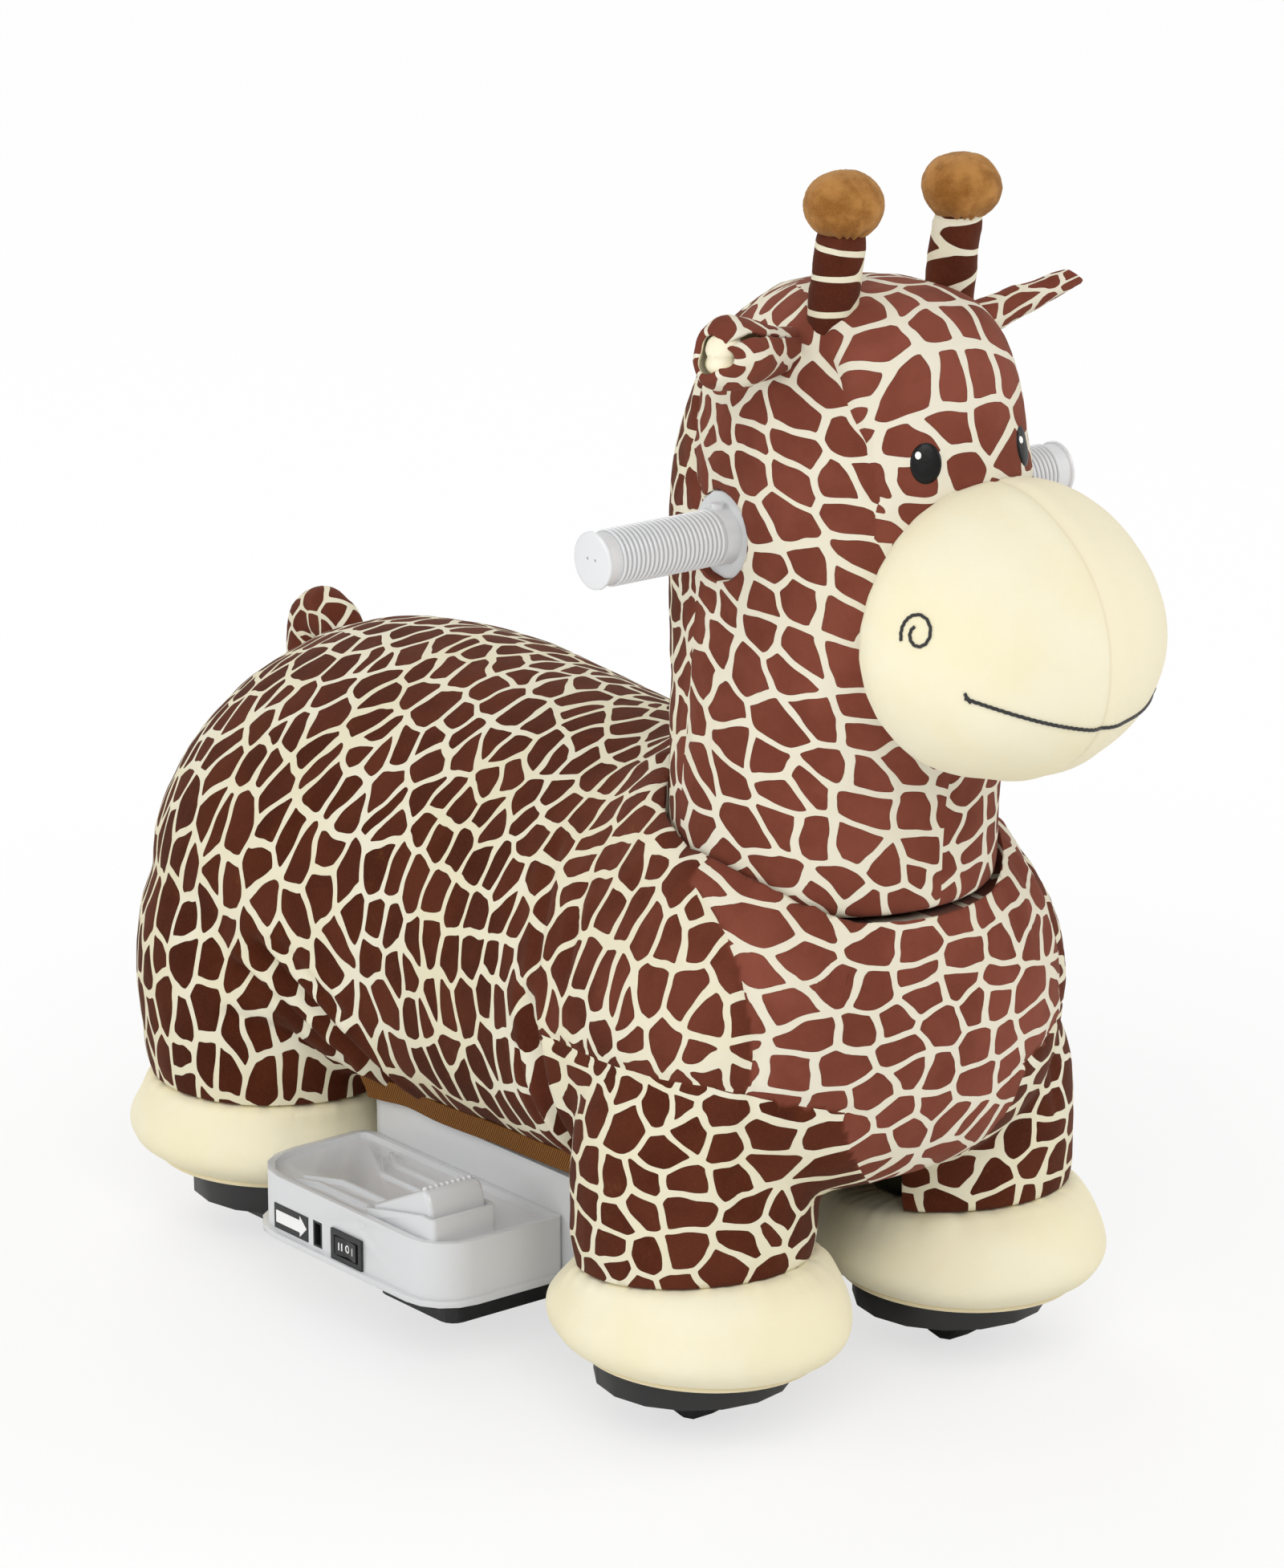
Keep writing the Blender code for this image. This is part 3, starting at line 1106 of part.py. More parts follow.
def level_rings(rows, x, y, squareness, count):
    """Rings stacked along Z from rows of (z, middle y, half x, half y); the first and last are points."""
    swell = soft_swell(count)
    rings = [(x, y + rows[0][1], rows[0][0])]
    for z, mid_y, half_x, half_y in rows[1:-1]:
        ring = ring_points(half_x * swell, half_y * swell, squareness, count)
        rings.append([(x + px, y + mid_y + py, z) for px, py in ring])
    rings.append((x, y + rows[-1][1], rows[-1][0]))
    return rings


def upright_rings(rows, count, top_squareness=2.0, low_squareness=2.0):
    """Rings stacked along Y from rows of (y, half x, top z, bottom z); the first and last are points."""
    swell = soft_swell(count)
    rings = [(0, rows[0][0], rows[0][2])]
    for y, half_x, top, bottom in rows[1:-1]:
        middle = (top + bottom) / 2
        upper = ring_points(half_x * swell, (top - bottom) / 2 * swell, top_squareness, count)
        lower = ring_points(half_x * swell, (top - bottom) / 2 * swell, low_squareness, count)
        ring = [a if a[1] > 0 else b for a, b in zip(upper, lower)]
        rings.append([(px, y, middle + pz) for px, pz in ring])
    rings.append((0, rows[-1][0], rows[-1][2]))
    return rings


def body_rings():
    half = BODY_HALF_X
    top = BODY_TOP
    low = BODY_BOTTOM
    rear = WHEELBASE + BODY_BEHIND
    front = -BODY_AHEAD
    rows = [(front, 0, 0.250, 0), (front + 0.016, half * 0.57, top - 0.058, 0.165), (-0.055, half * 0.92, top - 0.012, 0.140),
            (0.010, half * 1.01, top - 0.004, 0.132), (WHEELBASE * 0.235, half * 0.94, top - 0.011, low + 0.004),
            (WHEELBASE * 0.470, half * 0.89, top - 0.006, low), (WHEELBASE * 0.706, half * 0.95, top + 0.004, low),
            (WHEELBASE - 0.040, half * 1.07, top + 0.006, low + 0.002), (WHEELBASE + 0.030, half * 1.08, top - 0.003, low + 0.004),
            (rear - 0.038, half * 0.92, top - 0.022, low + 0.016), (rear - 0.009, half * 0.56, top - 0.068, low + 0.060),
            (rear, 0, 0.240, 0)]
    return upright_rings([(behind(y), a, t, b) for y, a, t, b in rows], BODY_COUNT, 1.75, 2.8)


def body_form(name, finish, is_part=True, puff=0.0):
    return loft(name, body_rings(), finish, is_part=is_part, puff=puff)


def head_rings():
    round_r = NECK_R
    ahead = NECK_AHEAD
    rows = [(HEAD_TOP, -0.038, 0, 0), (HEAD_TOP - 0.006, -0.038, 0.048, 0.060), (HEAD_TOP - 0.034, -0.030, 0.075, 0.097),
            (0.610, -0.020, 0.085, 0.122), (0.540, -0.017, 0.087, 0.138), (0.465, -0.013, 0.091, 0.122),
            (0.410, -ahead, round_r * 0.97, round_r * 1.05), (0.368, -ahead, round_r, round_r),
            (NECK_BOTTOM + 0.018, -ahead, round_r * 0.90, round_r * 0.90), (NECK_BOTTOM + 0.003, -ahead, round_r * 0.66, round_r * 0.66),
            (NECK_BOTTOM, -ahead, 0, 0)]
    return level_rings(rows, 0, STEER_Y, 2.0, HEAD_COUNT)


def head_form(name, finish, is_part=True, puff=0.0):
    return loft(name, head_rings(), finish, is_part=is_part, puff=puff)


def muzzle_form(name, finish, is_part=True, puff=0.0):
    rows = []
    for share, size in ((1.0, 0), (0.92, 0.44), (0.66, 0.78), (0.15, 1.04), (-0.40, 1.08), (-0.60, 0)):
        y = STEER_Y - MUZZLE_Y - share * MUZZLE_HALF_Y
        z = MUZZLE_Z - MUZZLE_DROOP * max(0.0, share)
        rows.append((y, size * MUZZLE_HALF_X, z + size * MUZZLE_HALF_Z, z - size * MUZZLE_HALF_Z))
    return loft(name, upright_rings(rows, 10), finish, is_part=is_part, puff=puff)


def leg_rooms(label, x, y, top):
    """Room inside the plush of a leg for its dish, flange and column."""
    low = bore("dish_room_" + label, CUP_R + GAP, CUP_BOTTOM - 0.01, CUP_TOP + 0.0045, (x, y, 0), FLAT, 16)
    high = bore("column_room_" + label, LEG_CAVITY_R, CUP_TOP, top, (x, y, 0), FLAT, 12)
    return low, high


def make_legs(body_puffed):
    """Brown sleeve and cream foot round each leg."""
    for end in ("front", "rear"):
        for label, side in SIDES:
            x = side * TRACK / 2
            name = end + "_" + label
            low = LEG_BOTTOM
            if end == "front":
                y = STEER_Y
                sleeve = [(low - 0.02, 0, 0, 0), (low - 0.018, 0, LEG_R, LEG_R), (0.150, 0, LEG_R + 0.001, LEG_R + 0.001),
                          (0.225, 0, 0.070, 0.075), (0.258, 0, 0, 0)]
                foot_mid, foot_x, foot_y = -0.006, FOOT_HALF_X, FOOT_HALF_Y
            else:
                y = REAR_Y
                sleeve = [(low - 0.02, 0, 0, 0), (low - 0.018, 0.010, LEG_R + 0.006, LEG_R + 0.012), (0.160, 0.013, 0.086, 0.094),
                          (0.240, 0.014, 0.085, 0.096), (0.312, 0.004, 0, 0)]
                foot_mid, foot_x, foot_y = 0.014, FOOT_HALF_X + 0.003, FOOT_HALF_Y - 0.001
            rooms = leg_rooms(name, x, y, 0.172)
            leg = loft("leg_plush_" + name, level_rings(sleeve, x, y, 2.0, LIMB_COUNT), "giraffe_plush")
            floor = box("leg_floor_" + name, (x - 0.12, y - 0.13, low - 0.05), (x + 0.12, y + 0.13, low), None, False)
            cut(leg, body_puffed, rooms[1], floor)
            hem_y = LEG_R + (0.010 if end == "rear" else 0.0005)
            hem_x = LEG_R + (0.004 if end == "rear" else -0.001)
            foot_rows = [(FOOT_BOTTOM, foot_mid, 0, 0), (FOOT_BOTTOM + 0.0005, foot_mid, foot_x * 0.78, foot_y * 0.79),
                         (FOOT_BOTTOM + 0.014, foot_mid, foot_x * 1.01, foot_y * 1.01), (0.083, foot_mid * 0.8, foot_x * 0.95, foot_y * 0.93),
                         (0.108, foot_mid * 0.7, hem_x, hem_y), (0.112, foot_mid * 0.7, 0, 0)]
            foot = loft("foot_plush_" + name, level_rings(foot_rows, x, y, 2.0, LIMB_COUNT), "cream_plush")
            lid = box("foot_lid_" + name, (x - 0.12, y - 0.13, low - 0.0005), (x + 0.12, y + 0.13, low + 0.05), None, False)
            sole = box("foot_sole_" + name, (x - 0.12, y - 0.13, 0), (x + 0.12, y + 0.13, FOOT_BOTTOM + 0.001), None, False)
            cut(foot, lid, sole, *rooms)


def body_rooms():
    """Room inside the body for everything that it is sewn over."""
    play = 0.0012
    leg_x = TRACK / 2 + COLUMN_R + 0.002
    arm_back = STEER_ARM_L + 0.012
    arm_top = TIE_ROD_Z + TIE_ROD_T + 0.009
    rooms = [
        box("room_deck", (-CHASSIS_HALF_X - play, behind(CHASSIS_FRONT) - play, 0.04),
            (CHASSIS_HALF_X + play, behind(CHASSIS_BACK) + play, CHASSIS_TOP + 2 * GAP), None, False),
        box("room_seat", (-SEAT_HALF_X - play, behind(SEAT_FRONT) - play, CHASSIS_TOP - 0.01),
            (SEAT_HALF_X + play, behind(SEAT_BACK) + play, CHASSIS_TOP + GAP + SEAT_H + play), None, False),
        box("room_beam", (-leg_x, STEER_Y - COLUMN_R - 0.002, 0.10), (leg_x, STEER_Y + arm_back, arm_top), None, False),
        box("room_tower", (-0.026, STEER_Y - TOWER_RING_R - 0.006, arm_top - 0.01),
            (0.026, STEER_Y + TOWER_RING_R + play, TOWER_TOP + play), None, False),
        bore("room_post", POST_R + 0.001, TOWER_TOP - 0.01, NECK_BOTTOM + 0.02, (0, STEER_Y, 0)),
        box("room_strut", (-STRUT_HALF_X - play, STEER_Y, 0.10), (STRUT_HALF_X + play, behind(CHASSIS_FRONT + 0.038) + play,
            BEAM_TOP + play), None, False),
        box("room_rear", (-TRACK / 2 - CHEEK_OUT - BRACKET_SHEET - play, REAR_Y - 0.028 - play, 0.09),
            (TRACK / 2 + CHEEK_OUT + BRACKET_SHEET + play, REAR_Y + 0.028 + play, REAR_PLATE_Z + REAR_PLATE_T + play), None, False),
        box("room_neck", (-0.050 - play, behind(CHASSIS_BACK - 0.083), 0.085), (0.050 + play, REAR_Y, REAR_PLATE_Z + REAR_PLATE_T + 2 * play), None, False),
    ]
    clear = NECK_CLEAR
    r = NECK_R + clear + NECK_AHEAD * math.sin(math.radians(STEER_ANGLE))
    neck = [(0, NECK_JOIN_Z + 0.1), (r + 0.004, NECK_JOIN_Z + 0.1), (r + 0.002, 0.400), (r, 0.370), (r * 0.965, 0.350),
            (r * 0.84, NECK_BOTTOM + 0.008), (r * 0.62, NECK_BOTTOM - 0.002), (0, NECK_BOTTOM - clear - 0.001)]
    rooms.append(turned("room_head", neck, None, (0, STEER_Y - NECK_AHEAD, 0), FLAT, 20, False))
    return rooms


def make_ear(label, side):
    """Folded leaf that stands out from the head's side."""
    length = 0.080
    bm = bmesh.new()
    rows = 5
    cols = 4
    grid = []
    for i in range(rows):
        s = i / (rows - 1)
        width = 0.020 + 0.029 * math.sin(math.pi * min(1, s * 1.15)) * (1 - 0.35 * s)
        fold = math.radians(120 - 35 * s)
        radius = width / (2 * fold) * 1.9
        line = []
        for j in range(cols):
            t = 2 * j / (cols - 1) - 1
            angle = fold * t
            pull = length * (s - 0.16 * s * s * t * t)
            line.append(bm.verts.new((pull, -radius * math.cos(angle), radius * math.sin(angle))))
        grid.append(line)
    for a, b in zip(grid, grid[1:]):
        for j in range(cols - 1):
            bm.faces.new((a[j], a[j + 1], b[j + 1], b[j]))
    mesh = bpy.data.meshes.new("ear_" + label)
    bm.to_mesh(mesh)
    bm.free()
    mesh.shade_smooth()
    obj = bpy.data.objects.new("ear_" + label, mesh)
    obj.location = (side * 0.071, STEER_Y - 0.038, 0.660)
    roll = 200 if side > 0 else -20
    heading = -12 if side > 0 else 192
    obj.rotation_euler = (math.radians(roll), math.radians(-14), math.radians(heading))
    soft = obj.modifiers.new("soft", "SUBSURF")
    soft.levels = 1
    soft.render_levels = 1
    shell = obj.modifiers.new("shell", "SOLIDIFY")
    shell.thickness = 0.0075
    shell.offset = 0
    return register(obj, "giraffe_plush")


def make_horn(label, side):
    """Short stalk that ends in a round plush ball."""
    rows = [(0.660, -0.050, 0, 0), (0.661, -0.050, 0.0150, 0.0150), (0.700, -0.054, 0.0150, 0.0150), (0.727, -0.060, 0.0142, 0.0142),
            (0.735, -0.061, 0.0215, 0.0215), (0.748, -0.061, 0.0262, 0.0262), (0.762, -0.061, 0.0190, 0.0190), (0.766, -0.061, 0, 0)]
    return loft("horn_" + label, level_rings(rows, side * 0.0445, STEER_Y, 2.0, 6), "ossicone_plush")


def make_tail():
    """Stubby tail that loops over onto the rump."""
    middle_y, middle_z = behind(WHEELBASE + BODY_BEHIND - 0.036), BODY_TOP - 0.038
    bend = 0.031
    count = 6
    swell = soft_swell(count)
    rings = [(0, middle_y + bend, middle_z - 0.030)]
    for angle, radius in ((-25, 0.0122), (45, 0.0124), (100, 0.0128), (150, 0.0126), (172, 0.0095)):
        turn = math.radians(angle)
        ring = []
        for px, pr in ring_points(radius * swell, radius * swell, 2.0, count):
            reach = bend + pr
            ring.append((px, middle_y + reach * math.cos(turn), middle_z + reach * math.sin(turn)))
        rings.append(ring)
    rings.append((0, middle_y - bend, middle_z - 0.002))
    return loft("tail", rings, "giraffe_plush")


def make_plush():
    body_puffed = body_form("body_puffed", None, False, 0.0005)
    head_puffed = head_form("head_puffed", None, False, 0.0005)
    body = body_form("body_plush", "giraffe_plush")
    rooms = body_rooms()
    join(rooms[0], *rooms[1:])
    cut(body, rooms[0])
    make_legs(body_puffed)

    tail = make_tail()
    cut(tail, body_puffed)

    head = head_form("head_plush", "giraffe_plush")
    place = (0, STEER_Y, BAR_Z)
    post_room = bore("room_in_neck", POST_R + GAP, NECK_BOTTOM - 0.02, BAR_Z - 0.004, (0, STEER_Y, 0))
    sleeve_room = bore("room_sleeve", BAR_R + 0.0035 + GAP, -0.0303, 0.0303, place, TURN_TO_X)
    bar_room = bore("room_bar", BAR_R + GAP, -0.15, 0.15, place, TURN_TO_X)
    join(bar_room, post_room, sleeve_room)
    for label, side in SIDES:
        x0, x1 = span(side * (FLANGE_X - GAP), side * (FLANGE_X + 0.05))
        seat = bore("flange_seat_" + label, FLANGE_R + GAP, x0, x1, place, TURN_TO_X, 16)
        join(bar_room, seat)
        ear = make_ear(label, side)
        cut(ear, head_puffed)
        horn = make_horn(label, side)
        cut(horn, head_puffed)
    cut(head, bar_room)
    muzzle = muzzle_form("muzzle", "cream_plush")
    cut(muzzle, head_puffed)
    carry("steering_joint", (0, STEER_Y, BAR_Z), ["steering_post", "handlebar_tube", "grip_right", "grip_left",
          "bar_flange_right", "bar_flange_left", "head_plush", "muzzle", "ear_right", "ear_left", "horn_right", "horn_left"])


def main():
    make_materials()
    make_front_frame()
    make_chassis()
    make_seat_frame()
    make_control_board()
    make_rear_frame()
    for label, side in SIDES:
        make_footplate(label, side)
    make_wall_parts()
    make_pedal()
    make_running_gear()
    make_steering_post()
    make_handlebar()
    make_plush()
    for obj in PARTS.objects:
        if obj.type == "MESH":
            smooth(obj)


main()
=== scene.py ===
"""Looks of the plush ride-on giraffe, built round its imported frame. Metres, +Z up, the toy faces -Y."""
import json
import math

import bmesh
import bpy
import numpy as np
from mathutils import Matrix, Vector, noise
from mathutils.bvhtree import BVHTree

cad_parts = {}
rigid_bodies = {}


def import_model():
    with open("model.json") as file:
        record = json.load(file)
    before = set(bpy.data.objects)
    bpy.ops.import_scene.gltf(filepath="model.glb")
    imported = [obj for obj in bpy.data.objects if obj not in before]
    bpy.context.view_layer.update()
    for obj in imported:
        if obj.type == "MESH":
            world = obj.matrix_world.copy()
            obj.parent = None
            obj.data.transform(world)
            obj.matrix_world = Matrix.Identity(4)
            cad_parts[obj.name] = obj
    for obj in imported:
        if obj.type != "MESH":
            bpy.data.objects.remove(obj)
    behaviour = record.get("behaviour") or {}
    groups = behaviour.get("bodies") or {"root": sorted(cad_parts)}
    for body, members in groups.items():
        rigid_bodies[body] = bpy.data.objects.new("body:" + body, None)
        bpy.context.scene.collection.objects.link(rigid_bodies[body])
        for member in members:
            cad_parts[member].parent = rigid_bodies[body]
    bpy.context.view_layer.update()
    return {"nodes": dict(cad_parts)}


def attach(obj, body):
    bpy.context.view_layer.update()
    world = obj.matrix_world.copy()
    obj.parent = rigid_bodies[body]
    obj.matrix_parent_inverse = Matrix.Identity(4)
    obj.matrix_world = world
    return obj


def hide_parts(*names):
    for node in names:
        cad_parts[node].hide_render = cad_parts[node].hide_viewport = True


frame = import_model()
NODES = frame["nodes"]

STEER_Y = -0.153
REAR_Y = 0.272
HALF_TRACK = 0.103
BAR_Z = 0.546
HEM_Z = 0.105
NECK_Y = STEER_Y - 0.005
SIDES = (("right", -1), ("left", 1))
ENDS = (("front", STEER_Y), ("rear", REAR_Y))
CORNERS = tuple((end, y, label, side) for end, y in ENDS for label, side in SIDES)
VOXEL = 0.0036
CORD_SIDES = 8
WALL_X = -0.2015
PEDAL_PIN = (0, 0.0505, 0.0851)


# Mesh helpers

def behind(distance):
    """Y of a place behind the steering axis."""
    return STEER_Y + distance


def new_object(name, verts, faces, edges=()):
    mesh = bpy.data.meshes.new(name)
    mesh.from_pydata([tuple(v) for v in verts], edges, [tuple(f) for f in faces])
    mesh.update()
    obj = bpy.data.objects.new(name, mesh)
    bpy.context.scene.collection.objects.link(obj)
    return obj


def outward(obj, merge=True, degenerate=False, flat=None):
    """Turns all faces outward, after merging doubled points and dissolving what is degenerate or flat."""
    bm = bmesh.new()
    bm.from_mesh(obj.data)
    if merge:
        bmesh.ops.remove_doubles(bm, verts=bm.verts, dist=1e-6)
    if degenerate:
        bmesh.ops.dissolve_degenerate(bm, edges=bm.edges, dist=1e-7)
    if flat:
        bmesh.ops.dissolve_limit(bm, angle_limit=math.radians(flat), verts=bm.verts, edges=bm.edges)
    bmesh.ops.recalc_face_normals(bm, faces=bm.faces)
    bm.to_mesh(obj.data)
    bm.free()
    return obj


def applied(obj):
    """The object's modifiers, made part of its mesh."""
    graph = bpy.context.evaluated_depsgraph_get()
    mesh = bpy.data.meshes.new_from_object(obj.evaluated_get(graph))
    old = obj.data
    obj.modifiers.clear()
    obj.data = mesh
    if old.users == 0:
        bpy.data.meshes.remove(old)
    mesh.name = obj.name
    return obj


def smooth(obj, angle=None):
    obj.data.shade_smooth()
    if angle:
        obj.data.set_sharp_from_angle(angle=math.radians(angle))
    return obj


def modifier(obj, kind, **values):
    step = obj.modifiers.new(kind.lower(), kind)
    for key, value in values.items():
        setattr(step, key, value)
    return step


def softened(obj, levels):
    modifier(obj, "SUBSURF", levels=levels, render_levels=levels)
    return smooth(applied(obj))


def rounded(obj, width, segments, angle):
    """Rounds the edges that are sharper than the angle."""
    angle = math.radians(angle)
    modifier(obj, "BEVEL", width=width, segments=segments, limit_method="ANGLE", angle_limit=angle)
    return applied(obj)


def remeshed(obj, voxel, rounds):
    """One closed skin of small squares round all that the mesh holds, made smoother in rounds."""
    modifier(obj, "REMESH", mode="VOXEL", voxel_size=voxel, adaptivity=0.0, use_smooth_shade=True)
    modifier(obj, "SMOOTH", factor=0.5, iterations=rounds)
    return smooth(applied(obj))


def joined(name, objects):
    """One mesh that holds all the objects' meshes."""
    verts = []
    faces = []
    for obj in objects:
        start = len(verts)
        verts += [obj.matrix_world @ v.co for v in obj.data.vertices]
        faces += [[start + i for i in p.vertices] for p in obj.data.polygons]
    whole = new_object(name, verts, faces)
    for obj in objects:
        dropped(obj)
    return whole


def dropped(obj):
    data = obj.data
    bpy.data.objects.remove(obj, do_unlink=True)
    if data.users == 0:
        bpy.data.meshes.remove(data)


def carved(obj, tools):
    """Takes the tools' space out of the object."""
    for tool in tools:
        modifier(obj, "BOOLEAN", object=tool, operation="DIFFERENCE", solver="MANIFOLD")
    applied(obj)
    for tool in tools:
        dropped(tool)
    return smooth(obj)


def ring(half_a, half_b, count, high=2.0, low=2.0):
    """Points of a closed oval; a half with a number above 2 is squarer, and below 2 more pointed."""
    points = []
    for i in range(count):
        angle = 2 * math.pi * i / count
        c, s = math.cos(angle), math.sin(angle)
        power = 2 / (low if s < 0 else high)
        a = half_a * math.copysign(abs(c) ** power, c)
        points.append((a, half_b * math.copysign(abs(s) ** power, s)))
    return points


def loft(name, rings):
    """Closed form through rings of points, a point at each end."""
    verts = [rings[0], *(point for one in rings[1:-1] for point in one), rings[-1]]
    count = len(rings[1])
    rows = len(rings) - 2
    faces = []
    last = 1 + (rows - 1) * count
    for i in range(count):
        j = (i + 1) % count
        faces += [(0, 1 + i, 1 + j), (len(verts) - 1, last + j, last + i)]
        faces += [(a + i, a + count + i, a + count + j, a + j) for a in range(1, last, count)]
    return softened(outward(new_object(name, verts, faces)), 2)


def level_rings(rows, x, y, count=20):
    """Rows of (z, middle y, half x, half y) stacked along Z."""
    rings = [(x, y + rows[0][1], rows[0][0])]
    for z, mid_y, half_x, half_y in rows[1:-1]:
        rings.append([(x + px, y + mid_y + py, z) for px, py in ring(half_x, half_y, count)])
    rings.append((x, y + rows[-1][1], rows[-1][0]))
    return rings


def upright_rings(rows, count, top=2.0, low=2.0):
    """Rows of (y, half x, top z, bottom z) stacked along Y."""
    rings = [(0, rows[0][0], rows[0][2])]
    for y, half_x, high, bottom in rows[1:-1]:
        middle = (high + bottom) / 2
        points = ring(half_x, (high - bottom) / 2, count, top, low)
        rings.append([(px, y, middle + pz) for px, pz in points])
    rings.append((0, rows[-1][0], rows[-1][2]))
    return rings


def box(name, low, high):
    """Box between two corners."""
    corners = [(x, y, z) for x in (low[0], high[0]) for y in (low[1], high[1]) for z in (low[2], high[2])]
    faces = [(0, 1, 3, 2), (4, 6, 7, 5), (0, 4, 5, 1), (2, 3, 7, 6), (0, 2, 6, 4), (1, 5, 7, 3)]
    return new_object(name, corners, faces)


def turned(name, profile, place=(0, 0, 0), turn=None, steps=48):
    """Profile of (radius, height) turned about Z, then turned and moved into place."""
    matrix = Matrix.Translation(place) @ (turn or Matrix.Identity(4))
    verts = []
    faces = []
    count = len(profile)
    for i in range(steps):
        angle = 2 * math.pi * i / steps
        verts += [matrix @ Vector((r * math.cos(angle), r * math.sin(angle), h)) for r, h in profile]
        a, b = i * count, (i + 1) % steps * count
        faces += [(a + k, b + k, b + k + 1, a + k + 1) for k in range(count - 1)]
    return outward(new_object(name, verts, faces), degenerate=True)


def across(side):
    """Turn that lays a profile's own Z along X, outward on the given side."""
    return Matrix.Rotation(side * math.pi / 2, 4, "Y")


def rod(name, radius, low, high, place, turn=None, steps=32):
    """Round rod from low to high along its own axis."""
    return turned(name, [(0, high), (radius, high), (radius, low), (0, low)], place, turn, steps)


def slab(name, outline, low, high, tree=None, hole=None):
    """Outline of (y, z) stretched along X from low to high; with a tree both count from its right side."""
    def base(y, z):
        if tree is None:
            return 0
        hit = tree.ray_cast(Vector((-0.3, y, z)), Vector((1, 0, 0)))[0]
        return WALL_X if hit is None else hit.x

    loops = [outline, hole] if hole else [outline]
    verts = [(base(y, z) + x, y, z) for loop in loops for x in (low, high) for y, z in loop]
    n = len(outline)
    faces = [] if hole else [list(range(n)), list(range(2 * n - 1, n - 1, -1))]
    for i in range(n):
        j = (i + 1) % n
        faces.append((i, j, n + j, n + i))
        if hole:
            faces += [(2 * n + i, 3 * n + i, 3 * n + j, 2 * n + j), (i, 2 * n + i, 2 * n + j, j),
                      (n + i, n + j, 3 * n + j, 3 * n + i)]
    return outward(new_object(name, verts, faces))


def points_of(obj):
    """Places and normals of the object's points."""
    mesh = obj.data
    co = np.empty(len(mesh.vertices) * 3, dtype=np.float64)
    mesh.vertices.foreach_get("co", co)
    normal = np.empty(len(mesh.vertices) * 3, dtype=np.float32)
    mesh.vertex_normals.foreach_get("vector", normal)
    return co.reshape(-1, 3), normal.reshape(-1, 3).astype(np.float64)


def put_points(obj, co, normal=None, push=None):
    """Moves the object's points to co, or to co pushed along the normals."""
    if push is not None:
        co = co + normal * push[:, None]
    obj.data.vertices.foreach_set("co", co.astype(np.float32).ravel())
    obj.data.update()
    return obj


def fractal(co, scale, seed):
    """Smooth bumps in two sizes, the same in each run."""
    shift = Vector((seed, seed * 1.7, -seed))
    total = np.zeros(len(co))
    for k in range(2):
        size = scale * 2 ** k
        total += np.array([noise.noise(Vector(p) * size + shift) for p in co.tolist()]) / 2 ** k
    return total


def ramp(value, low, high, start=0.0):
    """Smooth rise from start at low to 1 at high."""
    t = np.clip((value - low) / (high - low), 0, 1)
    return start + (1 - start) * t * t * (3 - 2 * t)


def bell(distance, half):
    """1 on a line, falling to nothing beside it."""
    return np.exp(-(distance / half) ** 2)


def groove(distance, depth, half):
    return -depth * bell(distance, half)


def to_line(co, line, axes):
    """Distance of each point to a bent line, measured in two of the axes."""
    p = co[:, axes]
    best = np.full(len(co), 1e9)
    for a, b in zip(line, line[1:]):
        a, b = np.array(a), np.array(b)
        t = np.clip(((p - a) @ (b - a)) / ((b - a) @ (b - a)), 0, 1)
        best = np.minimum(best, np.linalg.norm(p - (a + t[:, None] * (b - a)), axis=1))
    return best


def keep(obj, name, values):
    """Stores a number or a vector at each of the object's points; one number alone goes to all of them."""
    if np.ndim(values) == 0:
        values = np.full(len(obj.data.vertices), values)
    values = np.asarray(values, dtype=np.float32)
    if values.ndim == 1:
        obj.data.attributes.new(name, "FLOAT", "POINT").data.foreach_set("value", values)
        return
    full = np.zeros((len(values), 3), dtype=np.float32)
    full[:, :values.shape[1]] = values
    obj.data.attributes.new(name, "FLOAT_VECTOR", "POINT").data.foreach_set("vector", full.ravel())


class Nodes:
    """Short way to write a node tree."""

    def node(self, kind, inputs=None, **values):
        made = self.tree.nodes.new(self.family + kind)
        for key, value in values.items():
            setattr(made, key, value)
        for key, value in (inputs or {}).items():
            self.feed(made.inputs[key], value)
        return made

    def feed(self, socket, value):
        if isinstance(value, bpy.types.NodeSocket):
            self.tree.links.new(value, socket)
        else:
            socket.default_value = value


class Growth(Nodes):
    """Geometry node tree with named inputs, applied to an object's mesh."""

    family = "GeometryNode"

    def __init__(self, name, **inputs):
        self.tree = bpy.data.node_groups.new(name, "GeometryNodeTree")
        sockets = self.tree.interface.new_socket
        sockets("Geometry", in_out="OUTPUT", socket_type="NodeSocketGeometry")
        sockets("Geometry", in_out="INPUT", socket_type="NodeSocketGeometry")
        self.ids = {}
        for key, kind in inputs.items():
            self.ids[key] = sockets(key, in_out="INPUT", socket_type="NodeSocket" + kind).identifier
        self.given = self.tree.nodes.new("NodeGroupInput").outputs

    def made(self, kind, inputs, **values):
        return self.node(kind, inputs, **values).outputs[0]

    def finish(self, geometry):
        """Ends the tree in plain meshes with the material given."""
        real = self.made("RealizeInstances", {"Geometry": geometry})
        done = self.made("SetMaterial", {"Geometry": real, "Material": self.given["Material"]})
        self.tree.links.new(done, self.tree.nodes.new("NodeGroupOutput").inputs["Geometry"])
        return self

    def grow(self, obj, **values):
        """Sets the inputs by the identifiers of their sockets, and makes the result the object's mesh."""
        step = obj.modifiers.new("growth", "NODES")
        step.node_group = self.tree
        for key, value in values.items():
            step[self.ids[key]] = value
        return applied(obj)


